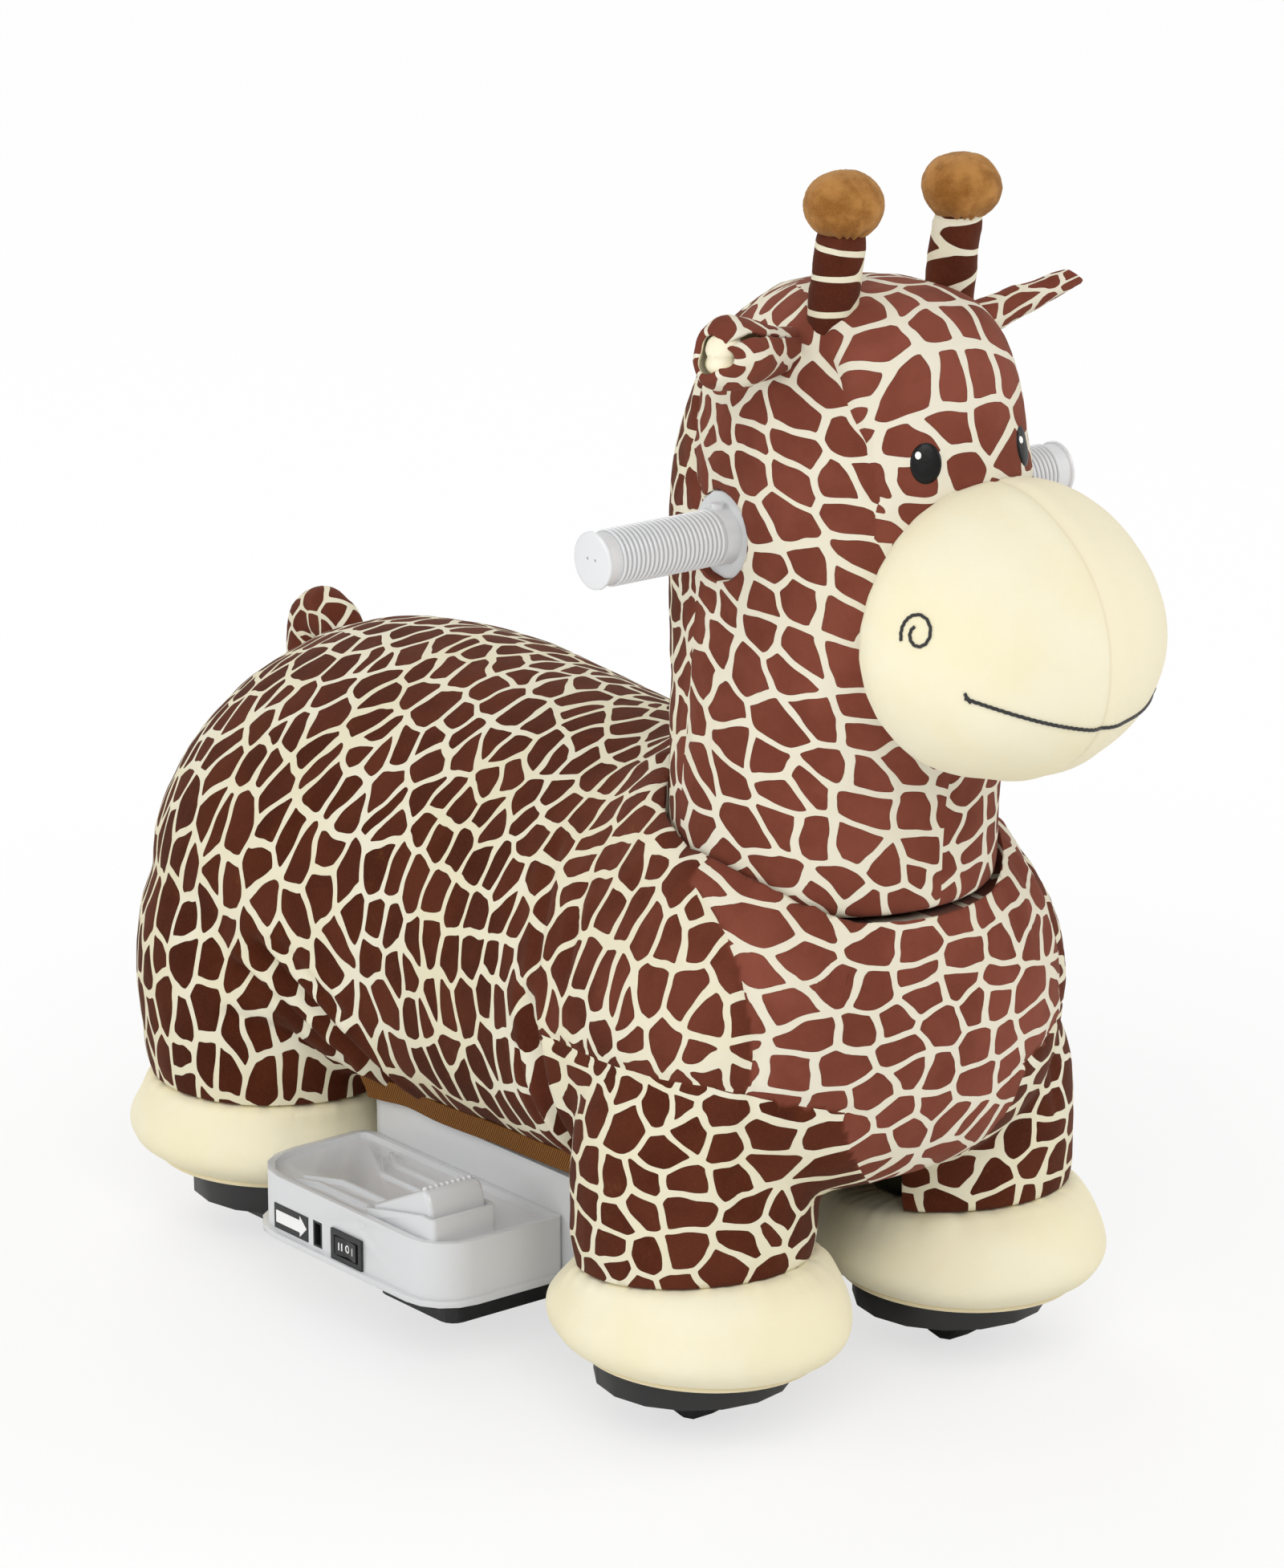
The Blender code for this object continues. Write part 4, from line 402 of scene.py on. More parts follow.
def cord_tree():
    """Round cord or thread along the path of edges that the mesh holds."""
    tree = Growth("cord", Radius="Float", Sides="Int", Material="Material")
    path = tree.made("MeshToCurve", {"Mesh": tree.given["Geometry"]})
    rim = {"Resolution": tree.given["Sides"], "Radius": tree.given["Radius"]}
    profile = tree.made("CurvePrimitiveCircle", rim)
    swept = tree.made("CurveToMesh", {"Curve": path, "Profile Curve": profile, "Fill Caps": True})
    return tree.finish(swept)


def row_tree():
    """Straight row of copies of the mesh, one step apart."""
    tree = Growth("row", Count="Int", Step="Vector", Material="Material")
    steps = {"Count": tree.given["Count"], "Offset": tree.given["Step"]}
    line = tree.made("MeshLine", steps, mode="OFFSET")
    return tree.finish(tree.made("InstanceOnPoints", {"Points": line, "Instance": tree.given["Geometry"]}))


GROWTHS = {"cord": cord_tree(), "row": row_tree()}


def tube(name, path, radius, material, closed=False):
    """Round thread or cord along a path."""
    count = len(path)
    edges = [(i, (i + 1) % count) for i in range(count if closed else count - 1)]
    obj = new_object(name, path, [], edges)
    GROWTHS["cord"].grow(obj, Radius=radius, Sides=CORD_SIDES, Material=material)
    return smooth(outward(obj))


def in_row(obj, count, step, material):
    """The object's mesh repeated along a straight line."""
    return GROWTHS["row"].grow(obj, Count=count, Step=step, Material=material)


def surface(obj):
    """Tree of an object's surface, in the scene's place, for rays and nearest points."""
    corners = [obj.matrix_world @ v.co for v in obj.data.vertices]
    return BVHTree.FromPolygons(corners, [tuple(p.vertices) for p in obj.data.polygons])


# Materials

class Net(Nodes):
    """Nodes of a material."""

    family = "ShaderNode"

    def __init__(self, name):
        self.mat = bpy.data.materials.new(name)
        self.mat.use_nodes = True
        self.tree = self.mat.node_tree
        self.shader = self.tree.nodes["Principled BSDF"]

    def math(self, operation, *values, clamp=False):
        return self.node("Math", dict(enumerate(values)), operation=operation, use_clamp=clamp).outputs[0]

    def times(self, a, b):
        return self.math("MULTIPLY", a, b)

    def plus(self, a, b, clamp=False):
        return self.math("ADD", a, b, clamp=clamp)

    def minus(self, a, b):
        return self.math("SUBTRACT", a, b)

    def vector(self, operation, *values, scale=None):
        inputs = dict(enumerate(values))
        if scale is not None:
            inputs["Scale"] = scale
        return self.node("VectorMath", inputs, operation=operation).outputs[0]

    def step(self, value, low, high, first=0.0, last=1.0):
        inputs = dict(enumerate((value, low, high, first, last)))
        return self.node("MapRange", inputs, interpolation_type="SMOOTHSTEP").outputs[0]

    def mix(self, factor, a, b):
        a, b = ((*c, 1) if isinstance(c, tuple) else c for c in (a, b))
        return self.node("Mix", {0: factor, 6: a, 7: b}, data_type="RGBA").outputs[2]

    def mix_vector(self, factor, a, b):
        return self.node("Mix", {0: factor, 4: a, 5: b}, data_type="VECTOR").outputs[1]

    def noise(self, vector, scale, detail=2.0, rough=0.5):
        inputs = {"Vector": vector, "Scale": scale, "Detail": detail, "Roughness": rough}
        return self.node("TexNoise", inputs).outputs[0]

    def parts(self, vector):
        return self.node("SeparateXYZ", {"Vector": vector}).outputs

    def place(self):
        return self.node("TexCoord").outputs["Object"]

    def attribute(self, name):
        return self.node("Attribute", attribute_name=name)

    def bump(self, height, strength, distance, normal=None):
        made = self.node("Bump", {"Height": height, "Strength": strength, "Distance": distance})
        if normal is not None:
            self.feed(made.inputs["Normal"], normal)
        return made.outputs[0]

    def patchy(self, first, other, scale=9.0, detail=3.0, rough=0.5, low=0.35, high=0.7):
        """One colour that drifts into another in broad patches."""
        return self.mix(self.step(self.noise(self.place(), scale, detail, rough), low, high), first, other)

    def set(self, **values):
        for key, value in values.items():
            socket = self.shader.inputs[key.replace("_", " ")]
            if isinstance(value, tuple) and len(value) == 3 and len(socket.default_value) == 4:
                value = (*value, 1)
            self.feed(socket, value)
        return self.mat


CREAM = (0.745, 0.69, 0.495)
CREAM_SIDE = (0.77, 0.73, 0.58)
PLUSH_CREAM = (0.85, 0.78, 0.545)
PLUSH_CREAM_SIDE = (0.87, 0.815, 0.62)


def pile(net, sheen, tint, lumps=0.6):
    """Short velvet pile: fine fibre bump, a soft sheen and no gloss."""
    place = net.place()
    fibres = net.noise(place, 1500.0, 3.0, 0.7)
    tufts = net.noise(place, 260.0, 3.0, 0.6)
    height = net.plus(net.times(fibres, 0.35), net.times(tufts, lumps))
    net.set(Roughness=0.88, Sheen_Weight=sheen, Sheen_Roughness=0.45, Specular_IOR_Level=0.18)
    net.shader.inputs["Sheen Tint"].default_value = (*tint, 1)
    net.set(Normal=net.bump(height, 0.35, 0.0012))
    return place


# Half the pale line between two patches, in patch pitches
LINE_WIDTH = 0.056


def cream_colour(net, first=CREAM, other=CREAM_SIDE):
    return net.patchy(first, other, 14.0, 3.0, 0.55)


def print_mask(net, vector, width):
    """Rounded many-sided patches with pale lines between them; the vector is in patch pitches."""
    flat = {"voronoi_dimensions": "2D"}
    drift = {"Vector": vector, "Scale": 0.9, "Detail": 1.0}
    wobble = net.node("TexNoise", drift, noise_dimensions="2D").outputs[1]
    wobble = net.vector("SUBTRACT", wobble, (0.5, 0.5, 0.5))
    vector = net.vector("ADD", vector, net.vector("SCALE", wobble, scale=0.34))
    base = {"Vector": vector, "Scale": 1.0, "Randomness": 0.84}
    edge = net.node("TexVoronoi", base, feature="DISTANCE_TO_EDGE", **flat).outputs["Distance"]
    near = net.node("TexVoronoi", base, feature="F1", **flat)
    blurred = net.node("TexVoronoi", dict(base, Smoothness=0.5), feature="SMOOTH_F1", **flat)
    round_off = net.minus(near.outputs["Distance"], blurred.outputs["Distance"])
    rough = net.times(net.minus(net.noise(vector, 6.0, 1.0), 0.5), 0.03)
    edge = net.minus(net.plus(edge, rough), net.times(round_off, 4.6))
    inside = net.step(edge, width - 0.012, width + 0.012)
    rim = net.step(edge, width + 0.005, width + 0.06, 1.0, 0.0)
    return inside, near.outputs["Color"], rim


def printed(name, vector_of, width=LINE_WIDTH):
    """Cream velvet with a printed coat of brown patches, redder and lighter where its red attribute says so:
    partly the cover's own tone, partly painted sheen of the velvet pile.
    """
    net = Net(name)
    place = pile(net, sheen=0.065, tint=(1.0, 0.72, 0.6))
    net.set(Specular_IOR_Level=0.07)
    mask, tone, rim = print_mask(net, vector_of(net, place), width)
    tone = net.node("SeparateColor", {"Color": tone}).outputs[0]
    # Red attribute: partly the cover's own redder tone, partly painted sheen of the velvet pile where it
    # faces the front and top
    warm = net.attribute("warm").outputs["Fac"]
    brushed = net.step(net.noise(place, 17.0, 4.0, 0.65), 0.36, 0.66)
    brown = net.mix(brushed, (0.054, 0.0115, 0.004), (0.08, 0.0185, 0.0065))
    red = net.mix(brushed, (0.19, 0.05, 0.031), (0.235, 0.066, 0.043))
    stroked = net.step(net.noise(place, 9.0, 3.0, 0.6), 0.3, 0.7, -0.16, 0.16)
    stroked = net.times(stroked, net.step(warm, 0.0, 0.3))
    brown = net.mix(net.plus(warm, stroked, clamp=True), brown, red)
    # Orange flecks: partly worn pile, partly painted glints of its sheen
    wear_and_glint = net.step(net.noise(place, 40.0, 5.0, 0.75), 0.6, 0.8)
    hairs = net.step(net.noise(place, 900.0, 2.0), 0.45, 0.8)
    for value, share, colour in ((net.step(tone, 0.5, 1.0), 0.25, (0.15, 0.04, 0.022)),
                                 (wear_and_glint, 0.3, (0.235, 0.085, 0.022)), (hairs, 0.1, (0.26, 0.1, 0.05)),
                                 (rim, 0.25, (0.06, 0.017, 0.009))):
        brown = net.mix(net.times(value, share), brown, colour)
    cream = net.mix(net.times(warm, 0.8), cream_colour(net), (0.75, 0.7, 0.58))
    return net.set(Base_Color=net.mix(mask, cream, brown))


def panels(first, *names, split=False):
    """Pattern places of a cover cut from panels: the later panel wins where its own mark is above 0.

    With split, the first panel has a seam at the middle, and its two halves don't match.
    """
    def vector_of(net, place):
        vector = net.attribute("print_" + first).outputs["Vector"]
        if split:
            left = net.math("GREATER_THAN", net.parts(place)["X"], 0.0)
            vector = net.vector("ADD", vector, net.vector("SCALE", (7.3, 4.6, 0.0), scale=left))
        for name in names:
            inside = net.math("GREATER_THAN", net.attribute("panel_" + name).outputs["Fac"], 0.0)
            vector = net.mix_vector(inside, vector, net.attribute("print_" + name).outputs["Vector"])
        return vector
    return vector_of


def cream_plush(name, first, other):
    net = Net(name)
    pile(net, sheen=0.1, tint=(1.0, 0.97, 0.9), lumps=0.35)
    return net.set(Base_Color=cream_colour(net, first, other))


def muzzle_plush():
    """Cream velvet in two halves, the left one paler, with painted shade along the seam down the middle."""
    net = Net("muzzle_plush_look")
    place = pile(net, sheen=0.1, tint=(1.0, 0.97, 0.9), lumps=0.35)
    x = net.parts(place)["X"]
    colour = cream_colour(net, PLUSH_CREAM, PLUSH_CREAM_SIDE)
    colour = net.mix(net.step(x, -0.0005, 0.0005), colour, (0.862, 0.792, 0.58))
    # Darker cream along the middle seam: painted shade in its crease
    seam = net.step(net.math("ABSOLUTE", x), 0.0003, 0.0018, 0.2, 0.0)
    return net.set(Base_Color=net.mix(seam, colour, (0.56, 0.44, 0.25)))


def golden_plush():
    net = Net("golden_plush_look")
    place = pile(net, sheen=0.18, tint=(1.0, 0.8, 0.5), lumps=0.9)
    colour = net.patchy((0.235, 0.09, 0.014), (0.44, 0.205, 0.055), 42.0, 3.0, 0.6, 0.36, 0.66)
    hairs = net.step(net.noise(place, 800.0, 3.0, 0.7), 0.4, 0.75)
    return net.set(Base_Color=net.mix(net.times(hairs, 0.22), colour, (0.55, 0.3, 0.1)))


def tape_look():
    """Ribbed brown tape, with painted shade in the grooves between the ribs."""
    net = Net("tape_look")
    place = net.place()
    parts = net.parts(place)
    slope = net.plus(parts["Y"], net.times(parts["Z"], 0.9))
    ribs = net.math("SINE", net.times(slope, 2 * math.pi / 0.0019))
    height = net.plus(net.times(ribs, 0.5), net.times(net.noise(place, 900.0, 2.0), 0.4))
    net.set(Roughness=0.75, Specular_IOR_Level=0.2, Normal=net.bump(height, 0.8, 0.0009))
    # Darker brown down in each groove between the ribs: painted shade
    shade = net.step(ribs, -1.0, 0.6)
    return net.set(Base_Color=net.mix(shade, (0.12, 0.042, 0.006), (0.335, 0.135, 0.026)))


def moulded(name, colour, roughness, coat=0.0, grain=0.25, radius=0.0009):
    """Moulded plastic: faint orange peel, softened edges and slight colour drift."""
    net = Net(name)
    place = net.place()
    soft = net.node("Bevel", {"Radius": radius}, samples=6).outputs[0]
    rub = net.noise(place, 70.0, 4.0, 0.7)
    net.set(Roughness=net.step(rub, 0.25, 0.8, roughness - 0.05, roughness + 0.09))
    peel = net.bump(net.noise(place, 420.0, 2.0), grain, 0.0002, soft)
    net.set(Normal=peel, Coat_Weight=coat, Coat_Roughness=0.12)
    return net.set(Base_Color=net.patchy(colour, tuple(min(1.0, c * 1.06 + 0.004) for c in colour)))


def polished(name, colour, roughness, coat):
    """Plastic of a piece whose edges are already rounded in its mesh."""
    net = Net(name)
    net.set(Roughness=roughness, Coat_Weight=coat, Coat_Roughness=0.12)
    other = tuple(min(1.0, c * 1.03 + 0.002) for c in colour)
    return net.set(Base_Color=net.patchy(colour, other, 7.0, 2.0))


def grip_look():
    """Grey plastic with painted shade down in the grooves between the ribs."""
    net = Net("grip_look")
    parts = net.parts(net.place())
    y = net.minus(parts["Y"], STEER_Y)
    z = net.minus(parts["Z"], BAR_Z)
    radius = net.math("SQRT", net.plus(net.times(y, y), net.times(z, z)))
    ribbed = net.math("LESS_THAN", net.math("ABSOLUTE", parts["X"]), 0.169)
    # Darker grey below the rib tops: painted shade in the grooves
    groove_shade = net.times(net.step(radius, 0.0156, 0.0166, 0.55, 0.0), ribbed)
    net.set(Roughness=0.33, Coat_Weight=0.2, Coat_Roughness=0.15)
    return net.set(Base_Color=net.mix(groove_shade, (0.735, 0.742, 0.75), (0.3, 0.305, 0.312)))


def metal(name, colour, roughness):
    net = Net(name)
    streaks = net.noise(net.vector("MULTIPLY", net.place(), (900.0, 900.0, 60.0)), 1.0, 3.0)
    net.set(Metallic=1.0, Roughness=net.step(streaks, 0.2, 0.8, roughness - 0.06, roughness + 0.12))
    return net.set(Base_Color=colour, Normal=net.bump(streaks, 0.15, 0.0002))


def thread_look(name, colour):
    net = Net(name)
    twist = net.noise(net.place(), 1300.0, 2.0)
    net.set(Roughness=0.55, Sheen_Weight=0.15, Normal=net.bump(twist, 0.8, 0.0006))
    other = tuple(c * 1.6 + 0.006 for c in colour)
    return net.set(Base_Color=net.mix(net.step(twist, 0.35, 0.7), colour, other))


BLACK = (0.012, 0.012, 0.013)
GREY = (0.64, 0.648, 0.655)
LOOKS = {
    "cream": cream_plush("cream_plush_look", PLUSH_CREAM, PLUSH_CREAM_SIDE),
    "lining": cream_plush("lining_look", (0.89, 0.815, 0.59), (0.9, 0.835, 0.64)),
    "gold": golden_plush(),
    "tape": tape_look(),
    "grip": grip_look(),
    "plate": polished("plate_look", GREY, 0.27, 0.35),
    "dish": polished("dish_look", BLACK, 0.42, 0.0),
    "muzzle": muzzle_plush(),
    "black": moulded("black_plastic_look", BLACK, 0.42, grain=0.5),
    "rubber": moulded("rubber_look", (0.014, 0.014, 0.014), 0.75, grain=0.9),
    "enamel": moulded("enamel_look", (0.02, 0.02, 0.022), 0.36, coat=0.2),
    "steel": metal("steel_look", (0.56, 0.56, 0.57), 0.3),
    "acetal": moulded("acetal_look", (0.76, 0.75, 0.69), 0.4),
    "board": moulded("board_look", (0.01, 0.11, 0.035), 0.45),
    "case": moulded("battery_look", (0.045, 0.046, 0.052), 0.5),
    "white": moulded("white_mark_look", (0.86, 0.86, 0.85), 0.5, radius=0.0001),
    "thread": thread_look("black_thread_look", (0.008, 0.008, 0.008)),
    "eye_thread": moulded("eye_thread_look", (0.004, 0.004, 0.004), 0.35, grain=0.8, radius=0.0001),
    "highlight": thread_look("white_thread_look", (0.8, 0.8, 0.78)),
    "welt": moulded("welt_look", (0.8, 0.7, 0.46), 0.85, grain=1.0),
}
LOOKS["eye_thread"].node_tree.nodes["Principled BSDF"].inputs["Specular IOR Level"].default_value = 0.25


def dress(obj, material, body, slot, *nodes):
    """Gives a finished piece its material, the body it rides on and the nodes it stands for; the slot is not
    used.
    """
    if material is not None:
        obj.data.materials.clear()
        obj.data.materials.append(LOOKS.get(material, material))
    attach(obj, body)
    if nodes:
        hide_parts(*nodes)
    return obj


# Body cover with its four leg sleeves

# Distance behind the steering axis, share of the half width, rises of the back and of the belly
BODY_ROWS = [(-0.118, 0, -0.142, 0), (-0.102, 0.57, -0.058, 0.057), (-0.055, 0.92, -0.012, 0.032),
             (0.01, 1.01, -0.004, 0.024), (0.1, 0.94, -0.011, 0.004), (0.2, 0.89, -0.006, 0),
             (0.3, 0.95, 0.004, 0), (0.385, 1.07, 0.006, 0.002), (0.455, 1.08, -0.003, 0.004),
             (0.51, 0.92, -0.022, 0.016), (0.539, 0.56, -0.068, 0.06), (0.548, 0, -0.152, 0)]
BODY_HALF_X = 0.165502
BODY_TOP = 0.392
BODY_BOTTOM = 0.108


def body_shape():
    rows = []
    for y, share, top, low in BODY_ROWS:
        rows.append((behind(y), share * BODY_HALF_X, BODY_TOP + top, BODY_BOTTOM + low))
    return loft("body_shape", upright_rings(rows, 28, 1.75, 2.8))


# Height, middle's y from the axle, half width and half length
LEG_ROWS = {"front": [(0.085, 0, 0, 0), (0.087, 0, 0.0745, 0.0745), (0.112, 0, 0.0755, 0.0755),
                      (0.15, 0, 0.0765, 0.0765), (0.225, 0, 0.07, 0.075), (0.258, 0, 0, 0)],
            "rear": [(0.085, 0, 0, 0), (0.087, 0.01, 0.0815, 0.0875), (0.115, 0.011, 0.083, 0.09),
                     (0.16, 0.013, 0.086, 0.094), (0.24, 0.014, 0.085, 0.096), (0.312, 0.004, 0, 0)]}


def leg_shapes():
    places = [(end, side * HALF_TRACK, y) for label, side in SIDES for end, y in ENDS]
    return [loft("leg_shape", level_rings(LEG_ROWS[end], x, y)) for end, x, y in places]


# Rise of a leg's lower edge toward the front
HEM_SLOPE = {"front": 0.085, "rear": 0.02}
COLUMN_ROOM = 0.0475
# Half width, then y from the steering axis and height, each from and to
FRAME_ROOMS = ((0.1052, 0.0988, 0.3342, 0.04, 0.1186), (0.133, -0.03, 0.047, 0.1, 0.2186),
               (0.026, -0.029, 0.0242, 0.2086, 0.2862))
NECK_ROOM = ((0, 0.505), (0.1075, 0.505), (0.1045, 0.4), (0.1015, 0.38), (0.1015, 0.3262),
             (0.0955, 0.3212), (0, 0.321))


def body_rooms():
    """Space inside the cover for the frames, the steering and the neck."""
    places = [(side * HALF_TRACK, y, HEM_SLOPE[end]) for label, side in SIDES for end, y in ENDS]
    rooms = [rod("leg_room", COLUMN_ROOM, 0.02, 0.172, (x, y, 0)) for x, y, slope in places]
    for x, low_y, high_y, low_z, high_z in FRAME_ROOMS:
        rooms.append(box("frame_room", (-x, behind(low_y), low_z), (x, behind(high_y), high_z)))
    rooms.append(rod("post_room", 0.0136, 0.275, 0.345, (0, STEER_Y, 0)))
    rooms.append(turned("neck_room", NECK_ROOM, (0, NECK_Y, 0)))
    for x, y, slope in places:
        hem = box("hem_room", (x - 0.12, y - 0.13, 0.03), (x + 0.12, y + 0.13, HEM_Z))
        for vertex in hem.data.vertices:
            if vertex.co.z > HEM_Z - 0.001:
                vertex.co.z += slope * (y - vertex.co.y)
        rooms.append(hem)
    return rooms


CHEST_Y = -0.165
SLEEVE_BACK_Y = -0.072
SLEEVE_RADIUS = 0.105


def sleeve_top(co):
    """Height of the seam between the body and a front leg's sleeve."""
    return 0.234 - 0.28 * np.maximum(0, 0.14 - np.abs(co[:, 0]))


def chest_edge(co):
    """Above 0 inside the chest's panel."""
    return 0.118 + 0.05 * (0.31 - co[:, 2]) - np.abs(co[:, 0])


# Creases of the cover: line of (y, z), depth and half width
FOLDS = [([(0.205, 0.215), (0.178, 0.196), (0.15, 0.172), (0.131, 0.145), (0.122, 0.122)], 0.0075, 0.0075),
         ([(0.222, 0.2), (0.19, 0.18), (0.16, 0.152)], 0.0045, 0.005),
         ([(0.188, 0.226), (0.163, 0.208), (0.14, 0.19)], 0.0034, 0.0045),
         ([(0.232, 0.168), (0.205, 0.155), (0.178, 0.13)], 0.0034, 0.0045),
         ([(-0.06, 0.25), (-0.068, 0.205), (-0.072, 0.15), (-0.074, 0.11)], 0.0065, 0.0065),
         ([(-0.046, 0.215), (-0.052, 0.18), (-0.056, 0.15)], 0.003, 0.004),
         ([(-0.03, 0.33), (-0.05, 0.305), (-0.062, 0.275)], 0.0026, 0.0045),
         ([(-0.075, 0.322), (-0.088, 0.3), (-0.094, 0.28)], 0.0024, 0.004)]


def make_body():
    cover = remeshed(joined("body_cover", [body_shape(), *leg_shapes()]), VOXEL, 10)
    co, normal = points_of(cover)
    x, y, z = co.T
    side = np.abs(normal[:, 0])
    push = 0.0016 * fractal(co, 13.0, 3.0) + 0.0007 * fractal(co, 42.0, 9.0)
    for line, depth, half in FOLDS:
        near = to_line(co, line, (1, 2))
        crease = groove(near, depth, half) + 0.35 * depth * bell(near - 2.2 * half, half)
        push += crease * ramp(side, 0.15, 0.6)
    near_leg = np.hypot(np.abs(x) - HALF_TRACK, y - STEER_Y)
    at_sleeve = (y < -0.075) & (near_leg < 0.115)
    step = z - sleeve_top(co)
    push += np.where(at_sleeve, groove(step, 0.0022, 0.0035), 0)
    edge = chest_edge(co)
    front = (y < CHEST_Y) & (z > 0.16)
    push += np.where(front, groove(edge, 0.0022, 0.004), 0)
    seams = np.minimum(np.where(at_sleeve, np.abs(step), 1), np.where(front, np.abs(edge), 1))
    push += 0.0011 * fractal(co, 75.0, 21.0) * bell(seams, 0.016)
    collar = np.hypot(x, y - NECK_Y) - 0.112
    rise = bell(collar, 0.022) * ramp(y, -0.235, -0.15, 0.62) * (z > 0.29)
    pleats = fractal(np.c_[np.arctan2(x, y - STEER_Y) * 0.11, z * 0.25, x * 0], 70.0, 5.0)
    push += 0.0022 * pleats * bell(collar, 0.03) * (z > 0.3)
    any_leg = np.minimum(near_leg, np.hypot(np.abs(x) - HALF_TRACK, y - REAR_Y))
    push -= 0.0016 * bell(z - HEM_Z, 0.01) * (any_leg < 0.12)
    co = co + normal * push[:, None]
    co[:, 2] += 0.012 * rise
    put_points(cover, co)
    carved(cover, body_rooms())
    print_body(cover)
    legs = ["leg_plush_" + end + "_" + label for end, y, label, side in CORNERS]
    look = printed("body_print", panels("main", "chest", "sleeve", "rump"))
    dress(cover, look, "carriage", "giraffe_plush", "body_plush", *legs)
    return cover


def print_body(cover):
    """Pattern places of the cover's panels, and how red and light its patches are, partly their own tone and
    partly painted sheen of the velvet pile.
    """
    co = points_of(cover)[0]
    x, y, z = co.T
    girth, middle_z, rear_y, thigh_y = 0.158, 0.25, 0.3, REAR_Y + 0.012
    around = np.arctan2(x, z - middle_z) * girth
    along = np.where(y > rear_y, rear_y + 0.135 * np.arcsin(np.clip((y - rear_y) / 0.0965, 0, 1)), y)
    thigh = thigh_y + np.arctan2(y - thigh_y, np.abs(x) - HALF_TRACK) * 0.092
    down = np.sign(x) * (girth * math.pi / 2 + (middle_z - z) * 0.95)
    low = ramp(z, 0.235, 0.175) * ramp(y, 0.15, 0.18)
    along = along * (1 - low) + thigh * low
    around = around * (1 - low) + down * low
    keep(cover, "print_main", np.c_[along / 0.02, around / 0.0315])
    angle = np.arctan2(y - STEER_Y, np.abs(x) - HALF_TRACK)
    keep(cover, "print_sleeve", np.c_[angle * 0.076 / 0.0265 + 30, z / 0.021 + 6 * np.sign(x)])
    near_leg = np.hypot(np.abs(x) - HALF_TRACK, y - STEER_Y)
    sleeve = np.minimum(sleeve_top(co) - z, np.minimum(SLEEVE_BACK_Y - y, SLEEVE_RADIUS - near_leg))
    keep(cover, "panel_sleeve", sleeve)
    keep(cover, "print_chest", np.c_[(x + 0.2 * z) / 0.029 + 50, (z - 0.12 * x) / 0.0205])
    chest = np.minimum(chest_edge(co), CHEST_Y - y)
    keep(cover, "panel_chest", chest)
    keep(cover, "print_rump", np.c_[x / 0.0205 + 80, z / 0.03])
    rump = 0.1 * (1 - np.hypot(x / 0.125, (z - 0.235) / 0.105))
    keep(cover, "panel_rump", np.minimum(rump, y - 0.33))
    # Redder, lighter brown toward the front, on the chest and on top of the back: painted sheen of the
    # velvet pile
    warm = 0.3 * ramp(-y, -0.02, 0.17) * ramp(z, 0.1, 0.24) + 0.1 * ramp(z, 0.3, 0.38)
    keep(cover, "warm", np.where(sleeve > 0, 0.07, np.where(chest > 0, 0.88, warm)))


TAPE_START = -0.075
TAPE_LENGTH = 0.244
TAPE_STEPS = 60
TAPE_SLOPE = ((0.115, 0.0035), (0.1128, -0.0015), (0.1108, -0.0055), (0.1094, -0.0095), (0.1086, -0.0128))


def make_tape(cover):
    """Ribbed tape sewn to the cover's lower edge; it hangs outside the chassis wall."""
    tree = surface(cover)
    last = TAPE_STEPS - 1
    along = [TAPE_START + TAPE_LENGTH * i / last for i in range(TAPE_STEPS)]
    for label, side in SIDES:
        edge = []
        for y in along:
            hit = tree.ray_cast(Vector((side * 0.1105, y, 0.085)), Vector((0, 0, 1)))[0]
            edge.append(hit.z if hit is not None else 0.131)
        for k in range(24):
            edge = [edge[0]] + [sum(edge[i - 1:i + 2]) / 3 for i in range(1, last)] + [edge[-1]]
        verts = []
        for y, high in zip(along, edge):
            for shift in (0.0014, -0.001):
                verts += [(side * (x + shift), y, high + z) for x, z in TAPE_SLOPE]
        order = [0, 1, 2, 3, 4, 9, 8, 7, 6, 5]
        wide = len(order)
        faces = [list(order), [last * wide + i for i in order[::-1]]]
        for i in range(0, last * wide, wide):
            for a, b in zip(order, order[1:] + order[:1]):
                faces.append((i + a, i + b, i + wide + b, i + wide + a))
        band = outward(new_object("hem_tape_" + label, verts, faces))
        modifier(band, "BEVEL", width=0.0004, segments=2)
        dress(smooth(applied(band), 50), "tape", "carriage", "giraffe_plush")


# Foot cushions

# Middle's y from the axle, half sizes of the cushion and of the leg's lower edge
FEET = {"front": (-0.006, 0.089, 0.101, 0.0745, 0.076), "rear": (0.014, 0.092, 0.1, 0.0795, 0.0855)}
# Height, share of the middle's y, shares of the half sizes; the last four rows count from the leg's edge
FOOT_ROWS = ((0.0455, 1, 0, 0), (0.0457, 1, 0.62, 0.62), (0.0466, 1, 0.72, 0.71), (0.051, 1, 0.84, 0.835),
             (0.059, 1, 0.955, 0.95), (0.069, 1, 0.995, 0.995), (0.08, 0.9, 0.97, 0.96),
             (0.0915, 0.8, 0.905, 0.89), (0.1, 0.7, 1.035, 1.035), (0.1045, 0.7, 0.95, 0.95),
             (0.1047, 0.7, 0.6, 0.6), (0.1048, 0.7, 0, 0))


